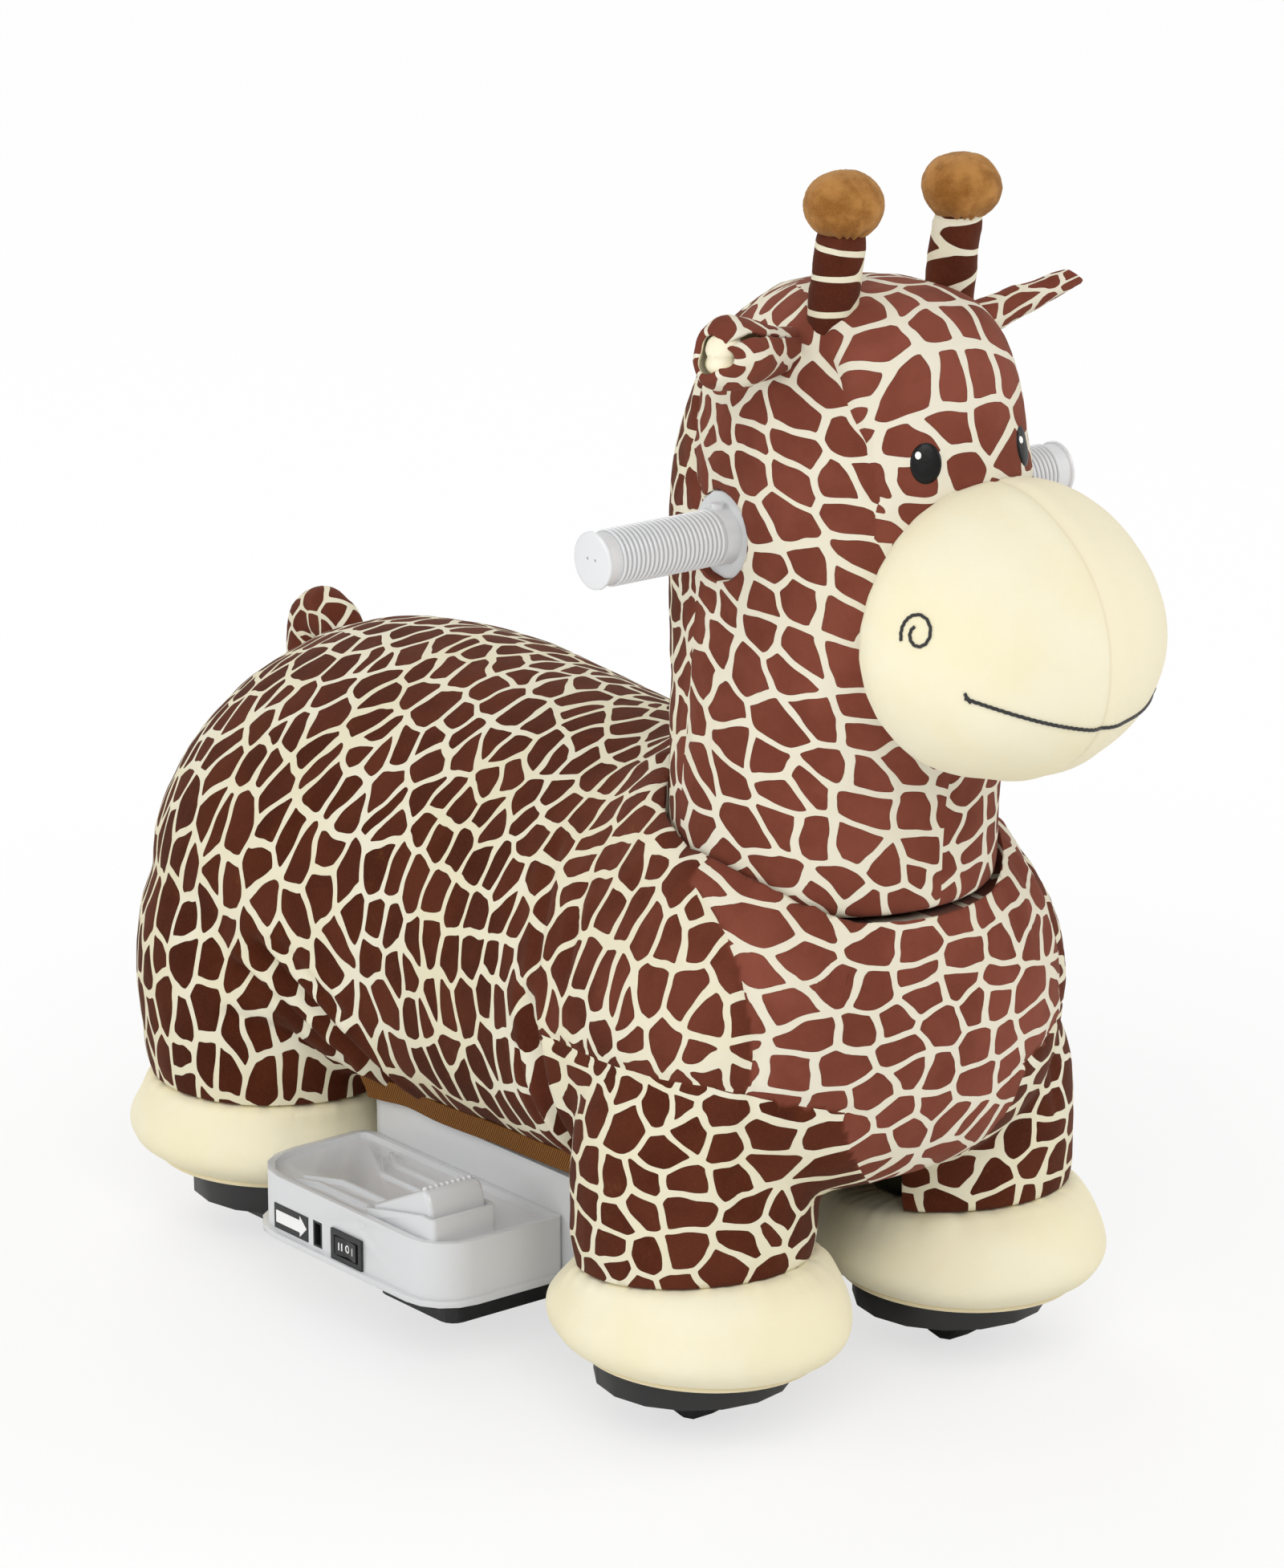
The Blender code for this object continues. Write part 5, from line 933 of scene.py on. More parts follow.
def make_feet():
    for end, base_y, label, side in CORNERS:
        x = side * HALF_TRACK
        mid, cushion_x, cushion_y, leg_x, leg_y = FEET[end]
        rows = []
        for k, (z, drift, share_x, share_y) in enumerate(FOOT_ROWS):
            wide, long = (cushion_x, cushion_y) if k < len(FOOT_ROWS) - 4 else (leg_x, leg_y)
            rows.append((z, mid * drift, wide * share_x, long * share_y))
        foot = loft("foot_" + end + "_" + label, level_rings(rows, x, base_y, 40))
        co, normal = points_of(foot)
        push = 0.0016 * fractal(co, 19.0, 7.0 + side + base_y) * ramp(co[:, 2], 0.046, 0.056)
        angle = np.arctan2(co[:, 1] - base_y, co[:, 0] - x)
        ribs = fractal(np.c_[np.cos(angle), np.sin(angle), co[:, 2] * 0], 9.0, 2.0 + side)
        push += 0.0012 * ribs * bell(co[:, 2] - 0.104, 0.01)
        co = co + normal * push[:, None]
        co[:, 2] += HEM_SLOPE[end] * (base_y - co[:, 1]) * ramp(co[:, 2], 0.066, 0.096)
        put_points(foot, co)
        carved(foot, [rod("dish_room", 0.0616, 0.02, 0.0645, (x, base_y, 0)),
                      rod("column_room", COLUMN_ROOM, 0.05, 0.12, (x, base_y, 0))])
        dress(foot, "cream", "carriage", "cream_plush", "foot_plush_" + end + "_" + label)
        rim = ring(cushion_x * 0.77, cushion_y * 0.765, 72)
        path = [(x + px, base_y + mid + py, 0.0482) for px, py in rim]
        welt = tube("foot_welt_" + end + "_" + label, path, 0.0021, LOOKS["welt"], True)
        dress(welt, None, "carriage", "cream_plush")


# Head, muzzle and face

# Height, middle's y from the steering axis, half width and half length
HEAD_ROWS = [(0.695, -0.038, 0, 0), (0.689, -0.038, 0.048, 0.06), (0.661, -0.03, 0.075, 0.097),
             (0.61, -0.02, 0.085, 0.122), (0.54, -0.017, 0.087, 0.138), (0.465, -0.013, 0.091, 0.122),
             (0.42, -0.009, 0.0965, 0.106), (0.385, -0.005, 0.0995, 0.0995), (0.345, -0.005, 0.099, 0.099),
             (0.329, -0.005, 0.0985, 0.0985), (0.3232, -0.005, 0.092, 0.092), (0.3228, -0.005, 0, 0)]
HEAD_MIDDLE_Y = STEER_Y - 0.017


def head_shape(name="head_cover"):
    return loft(name, level_rings(HEAD_ROWS, 0, STEER_Y, 28))


# Share of the way forward from the muzzle's middle, and share of its half sizes
MUZZLE_ROWS = ((1.0, 0), (0.985, 0.2), (0.92, 0.44), (0.66, 0.78), (0.15, 1.02), (-0.4, 1.06), (-0.6, 0))


def muzzle_rows():
    rows = []
    for share, size in MUZZLE_ROWS:
        middle, half = 0.509 - 0.007 * max(0, share), size * 0.086
        rows.append((STEER_Y - 0.158 - share * 0.0865, size * 0.097, middle + half, middle - half))
    return rows


SIDE_SEAM = [(-0.175, 0.7), (-0.205, 0.68), (-0.232, 0.65), (-0.252, 0.615), (-0.262, 0.585)]
REAR_SEAM = [(-0.13, 0.69), (-0.105, 0.64), (-0.112, 0.585), (-0.128, 0.56)]


def head_rooms():
    place = (0, STEER_Y, BAR_Z)
    rooms = [rod("post_room", 0.0129, 0.3, 0.5425, (0, STEER_Y, 0))]
    for radius, x in ((0.0149, 0.0305), (0.0114, 0.15)):
        rooms.append(rod("bar_room", radius, -x, x, place, across(1)))
    return rooms + [rod("seat_room", 0.027, 0.0785, 0.13, place, across(side)) for label, side in SIDES]


def make_head():
    cover = remeshed(head_shape(), VOXEL * 0.86, 4)
    co, normal = points_of(cover)
    x, y, z = co.T
    side = np.abs(normal[:, 0])
    push = 0.0014 * fractal(co, 15.0, 13.0) + 0.0006 * fractal(co, 50.0, 4.0)
    seam = to_line(co, SIDE_SEAM, (1, 2))
    rear = to_line(co, REAR_SEAM, (1, 2))
    front = np.abs(x) + 10 * np.maximum(0, z - 0.5) + 10 * np.maximum(0, y - STEER_Y)
    push += groove(seam, 0.0024, 0.0036) * ramp(side, 0.1, 0.4)
    push += groove(rear, 0.003, 0.0045) * ramp(side, 0.3, 0.7)
    push += groove(front, 0.0018, 0.0032)
    push += 0.001 * fractal(co, 80.0, 31.0) * bell(np.minimum(np.minimum(seam, rear), front), 0.014)
    angle = np.arctan2(x, y - STEER_Y)
    folds = fractal(np.c_[np.cos(angle) * 0.11, np.sin(angle) * 0.11, z * 0.35], 60.0, 17.0)
    push += 0.0018 * folds * bell(z - 0.43, 0.03)
    gather = fractal(np.c_[y * 1.4 + z, z - y, x], 55.0, 23.0)
    flange = np.hypot(y - STEER_Y, z - BAR_Z) - 0.045
    push += 0.0022 * gather * bell(flange, 0.03) * ramp(side, 0.4, 0.8) * ramp(y, -0.19, -0.13)
    push *= ramp(z, 0.375, 0.405)
    put_points(cover, co, normal, push)
    carved(cover, head_rooms())
    print_head(cover)
    look = printed("head_print", panels("side", "nape", "brow", split=True))
    dress(cover, look, "steering_head", "giraffe_plush", "head_plush")
    return cover


def seam_y(line, z):
    """The seam's y at each height."""
    line = np.array(line)[::-1]
    return np.interp(z, line[:, 1], line[:, 0])


def print_head(cover):
    """Pattern places of the head's panels; the brow and the front are redder and lighter, partly their own
    tone and partly painted sheen of the velvet pile.
    """
    x, y, z = points_of(cover)[0].T
    turn = np.arctan2(x, HEAD_MIDDLE_Y - y) * 0.118
    keep(cover, "print_side", np.c_[(turn + 0.12 * z) / 0.0365, (z - 0.13 * np.abs(turn)) / 0.0222 + 12])
    over = np.arctan2(z - 0.59, STEER_Y - 0.03 - y) * 0.105
    keep(cover, "print_brow", np.c_[x / 0.0275 + 90, over / 0.0262])
    brow = np.minimum(seam_y(SIDE_SEAM, z) - y, z - 0.56)
    brow = np.where(z > 0.688, np.minimum(0.02, 0.1 - np.abs(y - STEER_Y)), brow)
    keep(cover, "panel_brow", brow)
    keep(cover, "print_nape", np.c_[turn / 0.024 + 40, z / 0.023])
    keep(cover, "panel_nape", np.minimum(y - seam_y(REAR_SEAM, z), 0.69 - z))
    # Brow and front redder and lighter: partly own tone, partly painted sheen of the pile
    keep(cover, "warm", np.where(brow > 0, 1.0, 0.78 * ramp(STEER_Y - y, -0.075, -0.005)))


def make_muzzle():
    muzzle = remeshed(loft("muzzle_cover", upright_rings(muzzle_rows(), 28)), VOXEL * 0.75, 3)
    co, normal = points_of(muzzle)
    x, y, z = co.T
    push = 0.0012 * fractal(co, 14.0, 41.0) + groove(x, 0.0012, 0.0036) * ramp(-y, 0.27, 0.3)
    push += 0.0014 * bell(np.abs(x) - 0.01, 0.008) * ramp(-y, 0.3, 0.33)
    put_points(muzzle, co, normal, push)
    tool = head_shape("muzzle_tool")
    co, normal = points_of(tool)
    put_points(tool, co + normal * 0.0006)
    carved(muzzle, [tool])
    dress(muzzle, "muzzle", "steering_head", "cream_plush", "muzzle")
    return muzzle


def cast_front(tree, x, z):
    """Place just off the surface, seen from in front."""
    hit, normal = tree.ray_cast(Vector((x, -0.6, z)), Vector((0, 1, 0)))[:2]
    return hit + normal * 0.0004


def laid_line(name, tree, points, radius):
    """Embroidered line through points, each laid on the nearest surface."""
    path = []
    for a, b in zip(points, points[1:]):
        steps = max(1, round((b - a).length / 0.0011))
        path += [a.lerp(b, i / steps) for i in range(steps)]
    path.append(points[-1])
    laid = []
    for i, p in enumerate(path):
        place, normal = tree.find_nearest(p)[:2]
        ahead = path[min(i + 1, len(path) - 1)] - path[max(i - 1, 0)]
        aside = normal.cross(ahead.normalized())
        laid.append(place + normal * 0.0003 + aside * 0.00022 * math.sin(i * 1.9))
    dress(tube(name, laid, radius, LOOKS["thread"]), None, "steering_head", "black_plastic")


def frame_on(place, normal):
    """Place on a surface with its level direction, its rising direction and its normal."""
    level = Vector((0, 0, 1)).cross(normal).normalized()
    return place, level, normal.cross(level), normal


def smile_height(t):
    """Height of the mouth line from its right end, -1, to its left end, 1, which lies lower."""
    rise = 0.015 if t < 0 else 0.0115
    return 0.468 + rise * abs(t) ** 1.6 - 0.0085 * t


def make_face(head, muzzle):
    snout = surface(muzzle)
    brow = surface(head)
    smile = [cast_front(snout, 0.07 * t - 0.006, smile_height(t)) for t in np.linspace(-1, 1, 49)]
    laid_line("smile", snout, smile, 0.0011)
    for label, side in SIDES:
        end = cast_front(snout, side * 0.0685 - 0.006, smile_height(side) - 0.0002)
        tick = [end + Vector((side * 0.004, 0, 0.003)), end + Vector((side * -0.0005, -0.001, -0.0025))]
        laid_line("smile_tick_" + label, snout, tick, 0.001)
        x = side * 0.074
        start = Vector((side * 0.3 + x, -0.62, 0.526))
        aim = Vector((x, STEER_Y - 0.165, 0.526)) - start
        middle, level, rise = frame_on(*snout.ray_cast(start, aim.normalized())[:2])[:3]
        spiral = []
        for i in range(46):
            angle = math.radians(205 - 440 * i / 45)
            radius = 0.0118 - 0.0078 * i / 45
            aside = level * side * radius * math.cos(angle) * 0.92
            spiral.append(middle - aside + rise * radius * math.sin(angle) * 1.08)
        laid_line("nostril_" + label, snout, spiral, 0.001)
        make_eye(label, side, brow)


def oval_patch(name, tree, frame_at, offset, half, rise, material):
    """Raised embroidered oval whose rim sits in the surface; offset and half are (level, rising)."""
    middle, level, up, normal = frame_at
    rings = 8
    count = 40
    verts = []
    faces = []
    for r in range(rings + 2):
        share = min(r / rings, 1.0)
        height = 0.0001 + rise * math.sqrt(max(0.0, 1 - share ** 4)) if r <= rings else -0.0012
        for i in range(count):
            angle = 2 * math.pi * i / count
            flat = middle + level * (offset[0] + half[0] * share * math.cos(angle))
            flat = flat + up * (offset[1] + half[1] * share * math.sin(angle))
            place, there = tree.ray_cast(flat + normal * 0.02, -normal)[:2]
            verts.append(place + there * height)
    for r in range(0, (rings + 1) * count, count):
        for i in range(count):
            j = (i + 1) % count
            faces.append((r + i, r + j, r + count + j, r + count + i))
    faces.append([(rings + 1) * count + i for i in range(count)])
    dress(smooth(outward(new_object(name, verts, faces)), 60), material, "steering_head", "black_plastic")


def make_eye(label, side, tree):
    """Embroidered oval eye with a small white light in its upper corner."""
    x = 0.0335 if side > 0 else -0.038
    spot = frame_on(*tree.ray_cast(Vector((x, -0.6, 0.606)), Vector((0, 1, 0)))[:2])
    oval_patch("eye_" + label, tree, spot, (0, 0), (0.009, 0.0118), 0.0012, "eye_thread")
    oval_patch("eye_light_" + label, tree, spot, (-0.0044, 0.0046), (0.002, 0.0025), 0.002, "highlight")


# Ears, horns and tail

EARS = {"right": dict(root=(-0.062, -0.036, 0.66), tip=(-0.133, -0.05, 0.668), small=0.013, big=0.0215,
                      turn=(180, 175), open_to=(0.05, -0.7, 0.7), flare=0.002, waves=0.0034, cup=0.005,
                      curl=0.0105),
        "left": dict(root=(0.058, -0.04, 0.655), tip=(0.139, -0.057, 0.681), small=0.0132, big=0.006,
                     turn=(174, 166), open_to=(0.1, 0.6, 0.8), flare=0.0004, waves=0.0008, cup=0.008,
                     curl=0.0)}
EAR_ROWS = 20
EAR_COLS = 34
EAR_WALL = 0.0042


def ear_line(ear):
    """The ear's root and its tip."""
    return [Vector(ear[end]) + Vector((0, STEER_Y, 0)) for end in ("root", "tip")]


def ear_sheet(ear, inset):
    """Rolled leaf from a narrow root; inset is the distance inside its outer face."""
    root, tip = ear_line(ear)
    length = (tip - root).length
    axis = (tip - root).normalized()
    front = Vector(ear["open_to"])
    front = (front - axis * front.dot(axis)).normalized()
    other = axis.cross(front)
    first, last = ear["turn"]
    points = []
    for i in range(EAR_ROWS):
        s = i / (EAR_ROWS - 1)
        grow = s if ear["big"] < ear["small"] else float(ramp(np.float64(s), 0.0, 0.85))
        for j in range(EAR_COLS):
            t = 2 * j / (EAR_COLS - 1) - 1
            radius = ear["small"] + (ear["big"] - ear["small"]) * grow + ear["flare"] * s ** 4
            radius += ear["waves"] * s ** 2 * math.sin(3.0 * math.pi * t + 0.9) * (0.4 + 0.6 * abs(t))
            radius -= ear["curl"] * (max(0.0, s - 0.74) / 0.26) ** 2
            radius -= inset + 0.35 * ear["small"] * max(0.0, abs(t) - 0.75) * (1 - s)
            angle = math.pi + math.radians(first + (last - first) * s) * t
            along = length * s + ear["cup"] * s ** 2 * (math.cos(math.pi * t) * 0.6 - 0.2) - inset * s * 0.4
            aside = front * math.cos(angle) + other * math.sin(angle)
            points.append(root + axis * along + aside * radius)
    return points


def finish_ear(label, side):
    """Rolled ear of two layers: print outside, cream lining inside."""
    shape = EARS[label]
    count = EAR_ROWS * EAR_COLS
    wide = EAR_COLS
    faces = []
    for i in range(EAR_ROWS - 1):
        for a in range(i * wide, i * wide + wide - 1):
            faces.append((a, a + 1, a + wide + 1, a + wide))
            faces.append((count + a + wide, count + a + wide + 1, count + a + 1, count + a))
    sheets = len(faces)
    loop = [*range(wide), *range(2 * wide - 1, count, wide), *range(count - 2, count - wide - 1, -1),
            *range(count - 2 * wide, 0, -wide)]
    faces += [(b, a, count + a, count + b) for a, b in zip(loop, loop[1:] + loop[:1])]
    ear = new_object("ear_cover_" + label, ear_sheet(shape, 0.0) + ear_sheet(shape, EAR_WALL), faces)
    for material in (printed("ear_print_" + label, panels("ear")), LOOKS["lining"]):
        ear.data.materials.append(material)
    for polygon in ear.data.polygons:
        polygon.material_index = polygon.index % 2 if polygon.index < sheets else 0
    row, col = np.divmod(np.arange(2 * count) % count, wide)
    keep(ear, "print_ear", np.c_[row / (EAR_ROWS - 1) * 3.4 + 5 * side, col / (wide - 1) * 5.6 + 3])
    keep(ear, "warm", 0.75)
    outward(ear, merge=False)
    softened(ear, 1)
    co, normal = points_of(ear)
    put_points(ear, co, normal, 0.001 * fractal(co, 60.0, 3.0 + side) + 0.0005 * fractal(co, 150.0, 8.0))
    dress(ear, None, "steering_head", "giraffe_plush", "ear_" + label)


def make_ear_lobe():
    """Cream lining that bulges in the mouth of the right ear."""
    root, tip = ear_line(EARS["right"])
    turn = (tip - root).to_track_quat("Z", "Y").to_matrix().to_4x4()
    angles = [math.pi * i / 16 for i in range(17)]
    profile = [(0.0112 * math.sin(a), 0.012 * math.cos(a)) for a in angles]
    lobe = turned("ear_lobe", profile, root.lerp(tip, 0.83), turn, 32)
    co, normal = points_of(lobe)
    rise = co[:, 2] - co[:, 2].mean()
    co = co + normal * (0.0012 * fractal(co, 70.0, 12.0) - 0.0022 * bell(rise + 0.001, 0.0022))[:, None]
    co[:, 2] += 0.22 * rise
    put_points(lobe, co)
    dress(smooth(lobe), "lining", "steering_head", "cream_plush")


HORN_ROWS = [(0.66, -0.05, 0, 0), (0.661, -0.05, 0.015, 0.015), (0.68, -0.051, 0.015, 0.015),
             (0.7, -0.054, 0.015, 0.015), (0.722, -0.058, 0.0148, 0.0148), (0.733, -0.06, 0.0142, 0.0142),
             (0.734, -0.06, 0, 0)]
BALL_LOW, BALL_HIGH, BALL_HALF = 0.7265, 0.7652, 0.0242


def ball_rows():
    middle, half = (BALL_LOW + BALL_HIGH) / 2, (BALL_HIGH - BALL_LOW) / 2
    rows = [(BALL_LOW, -0.061, 0, 0)]
    for angle in (-72, -52, -30, -8, 14, 36, 56, 74):
        turn = math.radians(angle)
        radius = BALL_HALF * math.cos(turn) ** 0.92
        rows.append((middle + half * 1.02 * math.sin(turn), -0.061, radius, radius))
    return rows + [(BALL_HIGH, -0.061, 0, 0)]


def make_horns():
    for label, side in SIDES:
        x = side * 0.0445
        stalk = loft("horn_stalk_" + label, level_rings(HORN_ROWS, x, STEER_Y, 24))
        co, normal = points_of(stalk)
        angle = np.arctan2(co[:, 0] - x, STEER_Y - 0.054 - co[:, 1])
        push = 0.001 * fractal(co, 60.0, 5.0 + side) + 0.0004 * fractal(co, 160.0, 2.0)
        put_points(stalk, co, normal, push)
        around = angle * 1.5 / (2 * math.pi) + 17.3 * side
        keep(stalk, "print_horn", np.c_[around, co[:, 2] / 0.0205 + 0.3 * side])
        keep(stalk, "warm", 0.12)
        material = printed("horn_print_" + label, panels("horn"), 0.06)
        dress(stalk, material, "steering_head", "giraffe_plush")
        ball = loft("horn_ball_" + label, level_rings(ball_rows(), x, STEER_Y, 32))
        co, normal = points_of(ball)
        angle = np.arctan2(co[:, 1] - STEER_Y + 0.061, co[:, 0] - x)
        gathers = np.sin(angle * 11 + 3 * np.sin(angle * 3)) * bell(co[:, 2] - 0.7285, 0.0055)
        push = 0.0008 * gathers + 0.0008 * fractal(co, 48.0, 11.0 + side) + 0.0004 * fractal(co, 300.0, 2.0)
        put_points(ball, co, normal, push)
        dress(ball, "gold", "steering_head", "ossicone_plush", "horn_" + label)


# Angle round the bend's middle in degrees, and half width
TAIL_ROWS = ((-40, 0.0118), (-15, 0.012), (15, 0.0123), (45, 0.0125), (75, 0.0127), (100, 0.0128),
             (125, 0.0127), (150, 0.0122), (172, 0.0095))


def make_tail():
    middle_y, middle_z, bend = behind(0.512), 0.354, 0.0235
    rings = [(0, middle_y + bend * 0.8, middle_z - 0.03)]
    for angle, radius in TAIL_ROWS:
        c, s = math.cos(math.radians(angle)), math.sin(math.radians(angle))
        oval = ring(radius, radius + 0.0072, 20)
        rings.append([(px, middle_y + (bend + pr) * c, middle_z + (bend + pr) * s) for px, pr in oval])
    rings.append((0, middle_y - bend * 1.1, middle_z - 0.003))
    tail = loft("tail_cover", rings)
    co, normal = points_of(tail)
    put_points(tail, co, normal, 0.001 * fractal(co, 60.0, 6.0))
    x, y, z = points_of(tail)[0].T
    turn = np.arctan2(z - middle_z, y - middle_y)
    reach = np.hypot(z - middle_z, y - middle_y) - bend
    keep(tail, "print_tail", np.c_[turn * 0.031 / 0.019, np.arctan2(x, reach) * 0.0145 / 0.0165 + 8])
    keep(tail, "warm", 0.35)
    dress(tail, printed("tail_print", panels("tail")), "carriage", "giraffe_plush", "tail")


# Plastics

GRIP_END = 0.18
GRIP_FOOT = 0.0923
RIB_START = GRIP_END - 0.0112
RIB_PITCH = 0.0033
RIB_COUNT = int((RIB_START - GRIP_FOOT) / RIB_PITCH)
# Radius, and distance from the grip's end or from the rib's start
GRIP_CAP = ((0, 0), (0.015, 0), (0.0163, 0.0003), (0.017, 0.0009), (0.0171, 0.002), (0.0166, 0.0027),
            (0.0157, 0.0029), (0.0156, 0.011), (0.0155, 0.0112))
RIB = ((0.0155, 0), (0.0163, 0.0003), (0.0167, 0.0008), (0.0168, 0.0013), (0.0167, 0.0018), (0.0163, 0.0023),
       (0.0155, 0.0026))
# Radius and distance from the middle plane
GRIP_INSIDE = ((0.016, GRIP_FOOT), (0.0113, GRIP_FOOT), (0.0113, GRIP_END - 0.0075), (0, GRIP_END - 0.0075))


def make_grips():
    """Ribbed grips: all ribs but the last are one strip, repeated along the bar."""
    def strip(name, points, start):
        profile = [(radius, start - depth) for radius, depth in points]
        return turned(name, profile, (0, STEER_Y, BAR_Z), across(side), 64)

    for label, side in SIDES:
        ribs = strip("ribs", (*RIB, (0.0155, RIB_PITCH)), RIB_START)
        in_row(ribs, RIB_COUNT - 1, (-side * RIB_PITCH, 0, 0), LOOKS["grip"])
        last = RIB_START - RIB_PITCH * (RIB_COUNT - 1)
        foot = strip("foot", (*RIB, *((radius, last - x) for radius, x in GRIP_INSIDE)), last)
        grip = outward(joined("grip_look_" + label, [strip("cap", GRIP_CAP, GRIP_END), ribs, foot]))
        for dy in (-0.0035, 0.0035):
            place = (0, STEER_Y + dy, BAR_Z + 0.001)
            hole = rod("cap_hole", 0.0009, GRIP_END - 0.003, GRIP_END + 0.002, place, across(side), 12)
            modifier(grip, "BOOLEAN", object=hole, operation="DIFFERENCE", solver="EXACT")
            applied(grip)
            dropped(hole)
        dress(smooth(grip, 32), "grip", "steering_head", "grey_plastic", "grip_" + label)


def make_marks():
    """Black plate with an arrow on the right footplate's outer wall."""
    y0, y1 = behind(0.2605), behind(0.2965)
    z0, z1 = 0.057, 0.0735
    plate = slab("arrow_plate", [(y0, z0), (y1, z0), (y1, z1), (y0, z1)], WALL_X - 0.0005, WALL_X + 0.0001)
    dress(plate, "black", "carriage", "black_plastic")
    neck, rear = y0 + 0.0085, y1 - 0.0022
    outline = [(y0 + 0.0012, (z0 + z1) / 2), (neck, z1 - 0.0013), (neck, z1 - 0.0042), (rear, z1 - 0.0042),
               (rear, z0 + 0.0042), (neck, z0 + 0.0042), (neck, z0 + 0.0013)]
    dress(slab("arrow_mark", outline, WALL_X - 0.0007, WALL_X - 0.0004), "white", "carriage", "grey_plastic")


def make_switch_marks():
    """Plain I, II and O signs, thin and flat on the rocker's face."""
    rocker = NODES["rocker_button"]
    tree = surface(rocker)
    corners = np.array([rocker.matrix_world @ v.co for v in rocker.data.vertices])
    y, z = ((corners.min(axis=0) + corners.max(axis=0)) / 2)[1:]
    half_y, half_z = 0.0004, 0.0025
    bar = ((-half_y, -half_z), (half_y, -half_z), (half_y, half_z), (-half_y, half_z))
    places = (("one", -0.0064), ("two_front", 0.0047), ("two_rear", 0.0073))
    signs = [(name, [[(shift + dy, dz) for dy, dz in bar]]) for name, shift in places]
    turns = [2 * math.pi * i / 28 for i in range(28)]
    ovals = ((0.0021, 0.0026), (0.0013, 0.0018))
    rims = [[(wide * math.cos(a) - 0.0004, high * math.sin(a)) for a in turns] for wide, high in ovals]
    signs += [("zero", rims)]
    for name, loops in signs:
        loops = [[(y + dy, z + dz) for dy, dz in loop] for loop in loops]
        mark = slab("switch_mark_" + name, loops[0], -0.00015, 0.0001, tree, *loops[1:])
        dress(mark, "white", "rocker", "grey_plastic")


NODE_LOOKS = {"black": "seat_frame base_cover charge_socket switch_bezel gearbox_case gearbox_cover "
                       "rocker_button",
              "rubber": "wheel_front_right wheel_front_left wheel_rear_left wheel_rear_right",
              "enamel": "front_frame rear_frame rear_bracket_right rear_bracket_left steering_arm_right "
                        "steering_arm_left steering_post",
              "steel": "gear_motor axle_rear_left drive_axle pedal_spring handlebar_tube tie_rod "
                       "fork_front_right fork_front_left motor_pinion",
              "acetal": "reduction_gear", "board": "control_board", "case": "battery"}


# Nodes whose edges are rounded, each with its look, body, slot and the rounding's width
REFINED = (("plate", "carriage", "grey_plastic", 0.0009, "footplate_right footplate_left"),
           ("plate", "carriage", "grey_plastic", 0.001, "chassis_shell"),
           ("plate", "steering_head", "grey_plastic", 0.0006, "bar_flange_right bar_flange_left"),
           ("dish", "carriage", "black_plastic", 0.0008, "leg_moulding_front_right leg_moulding_front_left "
                                                         "foot_cup_rear_right foot_cup_rear_left"))


BUMP = ((0, 0.002), (0.001, 0.0018), (0.0017, 0.0011), (0.002, 0), (0.002, -0.0012), (0, -0.0014))
BUMP_COUNT = 9
BUMP_PITCH = 0.0042


def make_pedal_cover():
    """Rounded accelerator shell on its pin, with a row of bumps along the ridge."""
    low_x, high_x = -0.1905, -0.148
    front, back = -0.009, 0.055
    middle = (low_x + high_x) / 2
    outline = [(front, 0.092), (back, 0.0846), (back, 0.0945), (back - 0.0025, 0.0965),
               (front + 0.016, 0.1176), (front + 0.0125, 0.1187), (front + 0.009, 0.1184),
               (front + 0.0062, 0.1162), (front + 0.004, 0.111)]
    shell = slab("pedal_shell", outline, low_x, high_x)
    rounded(shell, 0.0045, 5, 50)
    room = [(front + 0.0035, 0.086), (back - 0.0025, 0.0806), (back - 0.0025, 0.0915),
            (front + 0.012, 0.112), (front + 0.007, 0.109)]
    carved(shell, [slab("pedal_room", room, low_x + 0.0025, high_x - 0.0025)])
    pin = rod("pedal_pin", 0.0025, -0.1939, -0.1446, PEDAL_PIN, across(1), 20)
    boss = rod("spring_boss", 0.0052, 0.0999, 0.1125, (middle, 0.007, 0), None, 20)
    start = middle - BUMP_PITCH * (BUMP_COUNT - 1) / 2
    bumps = turned("bumps", BUMP, (start, front + 0.014, 0.1184), None, 16)
    in_row(bumps, BUMP_COUNT, (BUMP_PITCH, 0, 0), LOOKS["plate"])
    cover = smooth(joined("pedal_cover", [shell, pin, boss, bumps]), 40)
    dress(cover, "plate", "accelerator", "grey_plastic", "pedal")


def make_pin_plug():
    """Flush plug where the pedal's pin goes in through the outer wall."""
    plug = rod("pin_plug", 0.00275, WALL_X, -0.1957, PEDAL_PIN, across(1), 24)
    dress(smooth(plug, 30), "plate", "carriage", "grey_plastic")


def refine_plastics():
    """Smooth-shaded copies of the moulded nodes, with their sharp edges rounded."""
    for kind, body, slot, width, nodes in REFINED:
        for node in nodes.split():
            source = NODES[node]
            verts = [source.matrix_world @ v.co for v in source.data.vertices]
            piece = new_object(node + "_look", verts, [list(p.vertices) for p in source.data.polygons])
            outward(piece, flat=1.0)
            rounded(piece, width, 2, 38)
            dress(smooth(piece, 34), kind, body, slot, node)


def finish_nodes():
    """Materials of the nodes that show as they are."""
    for name, nodes in NODE_LOOKS.items():
        for node in nodes.split():
            for slot in NODES[node].material_slots:
                slot.material = LOOKS[name]


# Stage and camera

def area_light(name, place, size, power):
    data = bpy.data.lights.new(name, "AREA")
    data.shape = "RECTANGLE"
    data.size, data.size_y = size
    data.energy = power
    obj = bpy.data.objects.new(name, data)
    bpy.context.scene.collection.objects.link(obj)
    obj.location = place
    obj.rotation_euler = (Vector((0, 0, 0.32)) - Vector(place)).to_track_quat("-Z", "Y").to_euler()


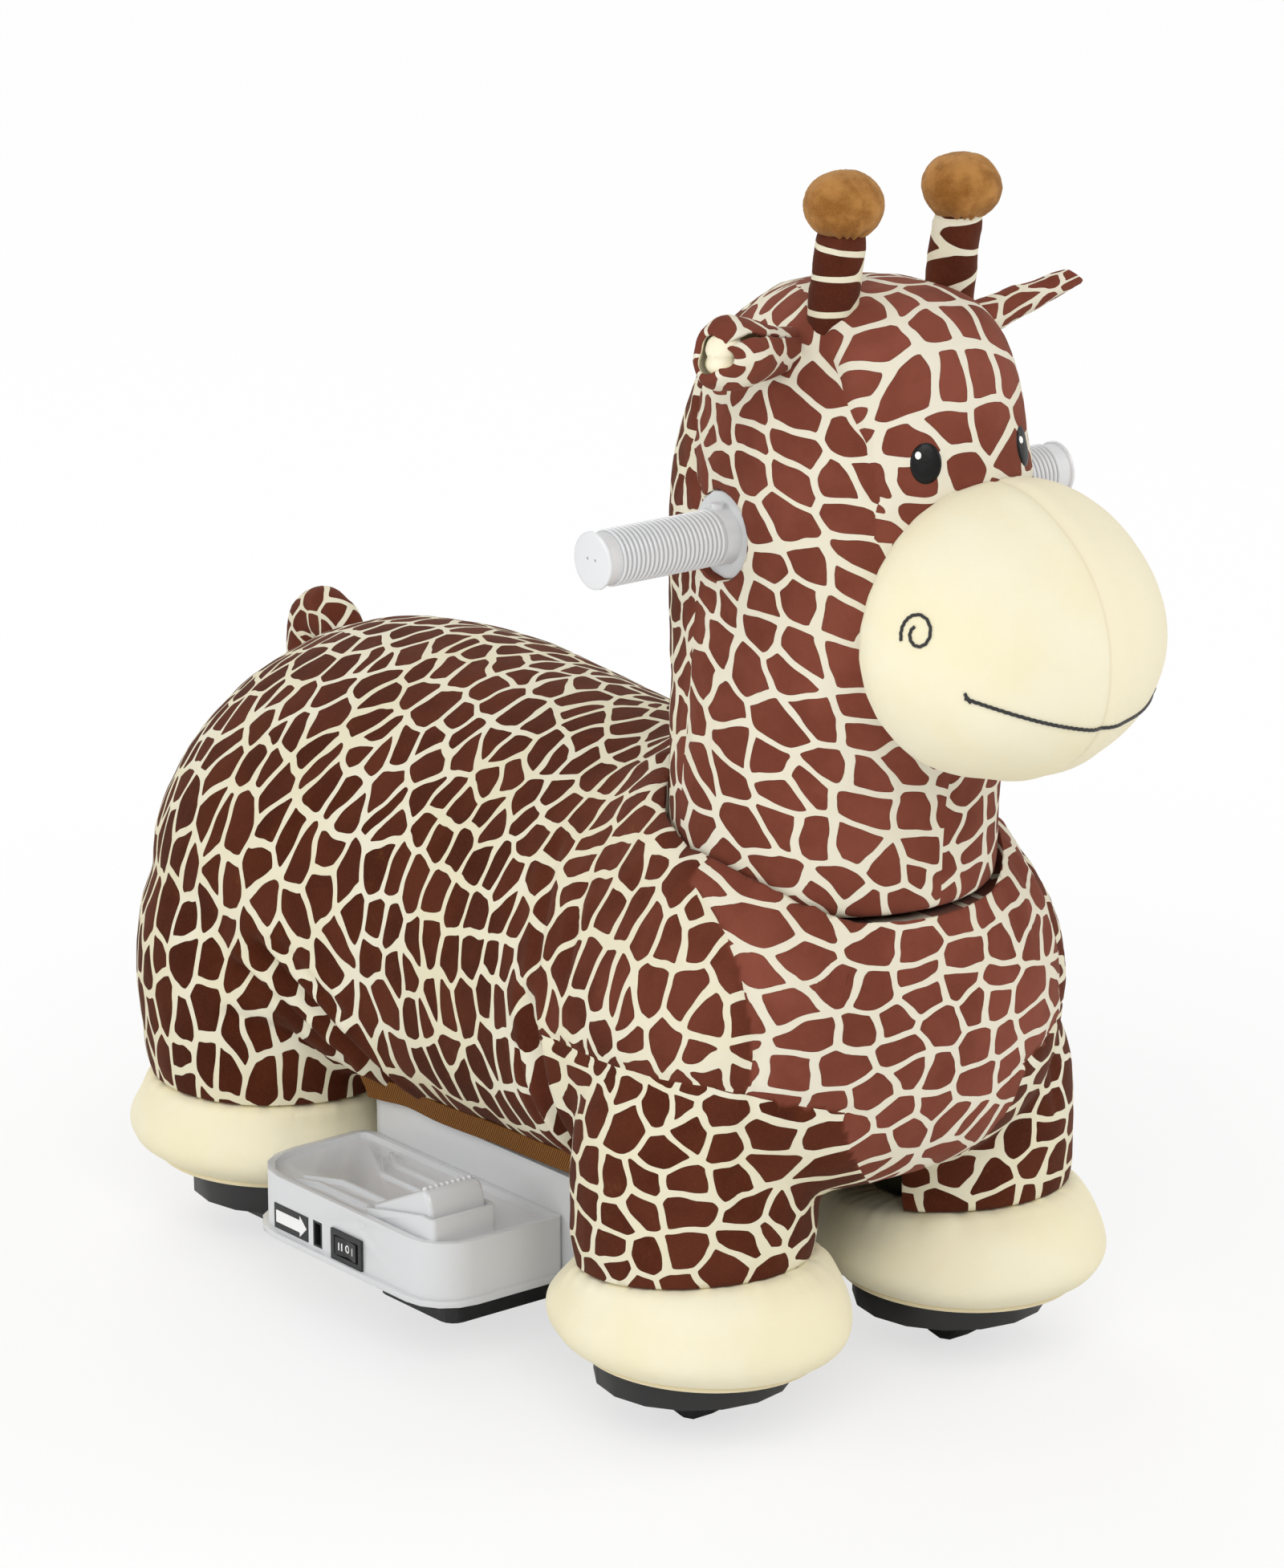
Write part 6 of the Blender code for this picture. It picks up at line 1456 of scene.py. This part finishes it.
def make_stage():
    """White room that is dimmer as a light than as a background, and a floor that fades into it."""
    world = bpy.data.worlds.new("studio")
    bpy.context.scene.world = world
    world.use_nodes = True
    nodes, links = world.node_tree.nodes, world.node_tree.links
    back = nodes["Background"]
    back.inputs["Color"].default_value = (1, 1, 1, 1)
    path = nodes.new("ShaderNodeLightPath")
    seen = nodes.new("ShaderNodeMath")
    seen.operation = "MAXIMUM"
    level = nodes.new("ShaderNodeMapRange")
    level.inputs["To Min"].default_value = 0.55
    links.new(path.outputs["Is Camera Ray"], seen.inputs[0])
    links.new(path.outputs["Is Transmission Ray"], seen.inputs[1])
    links.new(seen.outputs[0], level.inputs["Value"])
    links.new(level.outputs[0], back.inputs["Strength"])

    floor = new_object("studio_floor", [(-6, -6, 0), (6, -6, 0), (6, 6, 0), (-6, 6, 0)], [(0, 1, 2, 3)])
    net = Net("floor_look")
    net.set(Base_Color=(0.93, 0.93, 0.93), Roughness=0.9)
    seen = net.node("LightPath").outputs["Is Camera Ray"]
    away = net.node("VectorMath", {0: net.place()}, operation="LENGTH").outputs["Value"]
    fade = net.step(away, 0.35, 1.3, 0.68, 0.97)
    white = net.node("Emission", {"Color": (1, 1, 1, 1), "Strength": 1.0})
    blend = net.node("MixShader", {0: net.times(seen, fade), 1: net.shader.outputs[0], 2: white.outputs[0]})
    net.feed(net.tree.nodes["Material Output"].inputs["Surface"], blend.outputs[0])
    floor.data.materials.append(net.mat)

    area_light("key", (-1.9, -2.6, 2.7), (2.2, 2.2), 62)
    area_light("fill", (2.6, -1.6, 1.5), (2.2, 2.2), 26)
    area_light("side", (-2.8, 0.9, 1.4), (1.8, 1.8), 22)
    area_light("back", (0.8, 2.6, 2.4), (2.0, 1.6), 24)


FOCAL_PIXELS = 7592.0
PHOTO_HEIGHT = 1954.0


def make_camera():
    """The photo's camera; its focal length was worked out in pixels of the photo."""
    data = bpy.data.cameras.new("camera")
    data.sensor_width = 36.0
    data.lens = FOCAL_PIXELS * data.sensor_width / PHOTO_HEIGHT
    data.clip_start = 0.1
    data.clip_end = 60.0
    obj = bpy.data.objects.new("camera", data)
    bpy.context.scene.collection.objects.link(obj)
    obj.location = (-2.26625, -2.65708 + STEER_Y, 1.4219)
    turn, dip = math.radians(-38.63), math.radians(16.63)
    forward = Vector((-math.sin(turn) * math.cos(dip), math.cos(turn) * math.cos(dip), -math.sin(dip)))
    obj.rotation_euler = forward.to_track_quat("-Z", "Y").to_euler()
    bpy.context.scene.camera = obj


def main():
    bpy.context.scene.view_settings.view_transform = "Standard"
    make_camera()
    body = make_body()
    make_tape(body)
    make_feet()
    head = make_head()
    muzzle = make_muzzle()
    make_face(head, muzzle)
    for label, side in SIDES:
        finish_ear(label, side)
    make_ear_lobe()
    make_horns()
    make_tail()
    make_grips()
    make_marks()
    make_switch_marks()
    make_pedal_cover()
    make_pin_plug()
    refine_plastics()
    finish_nodes()
    make_stage()


main()
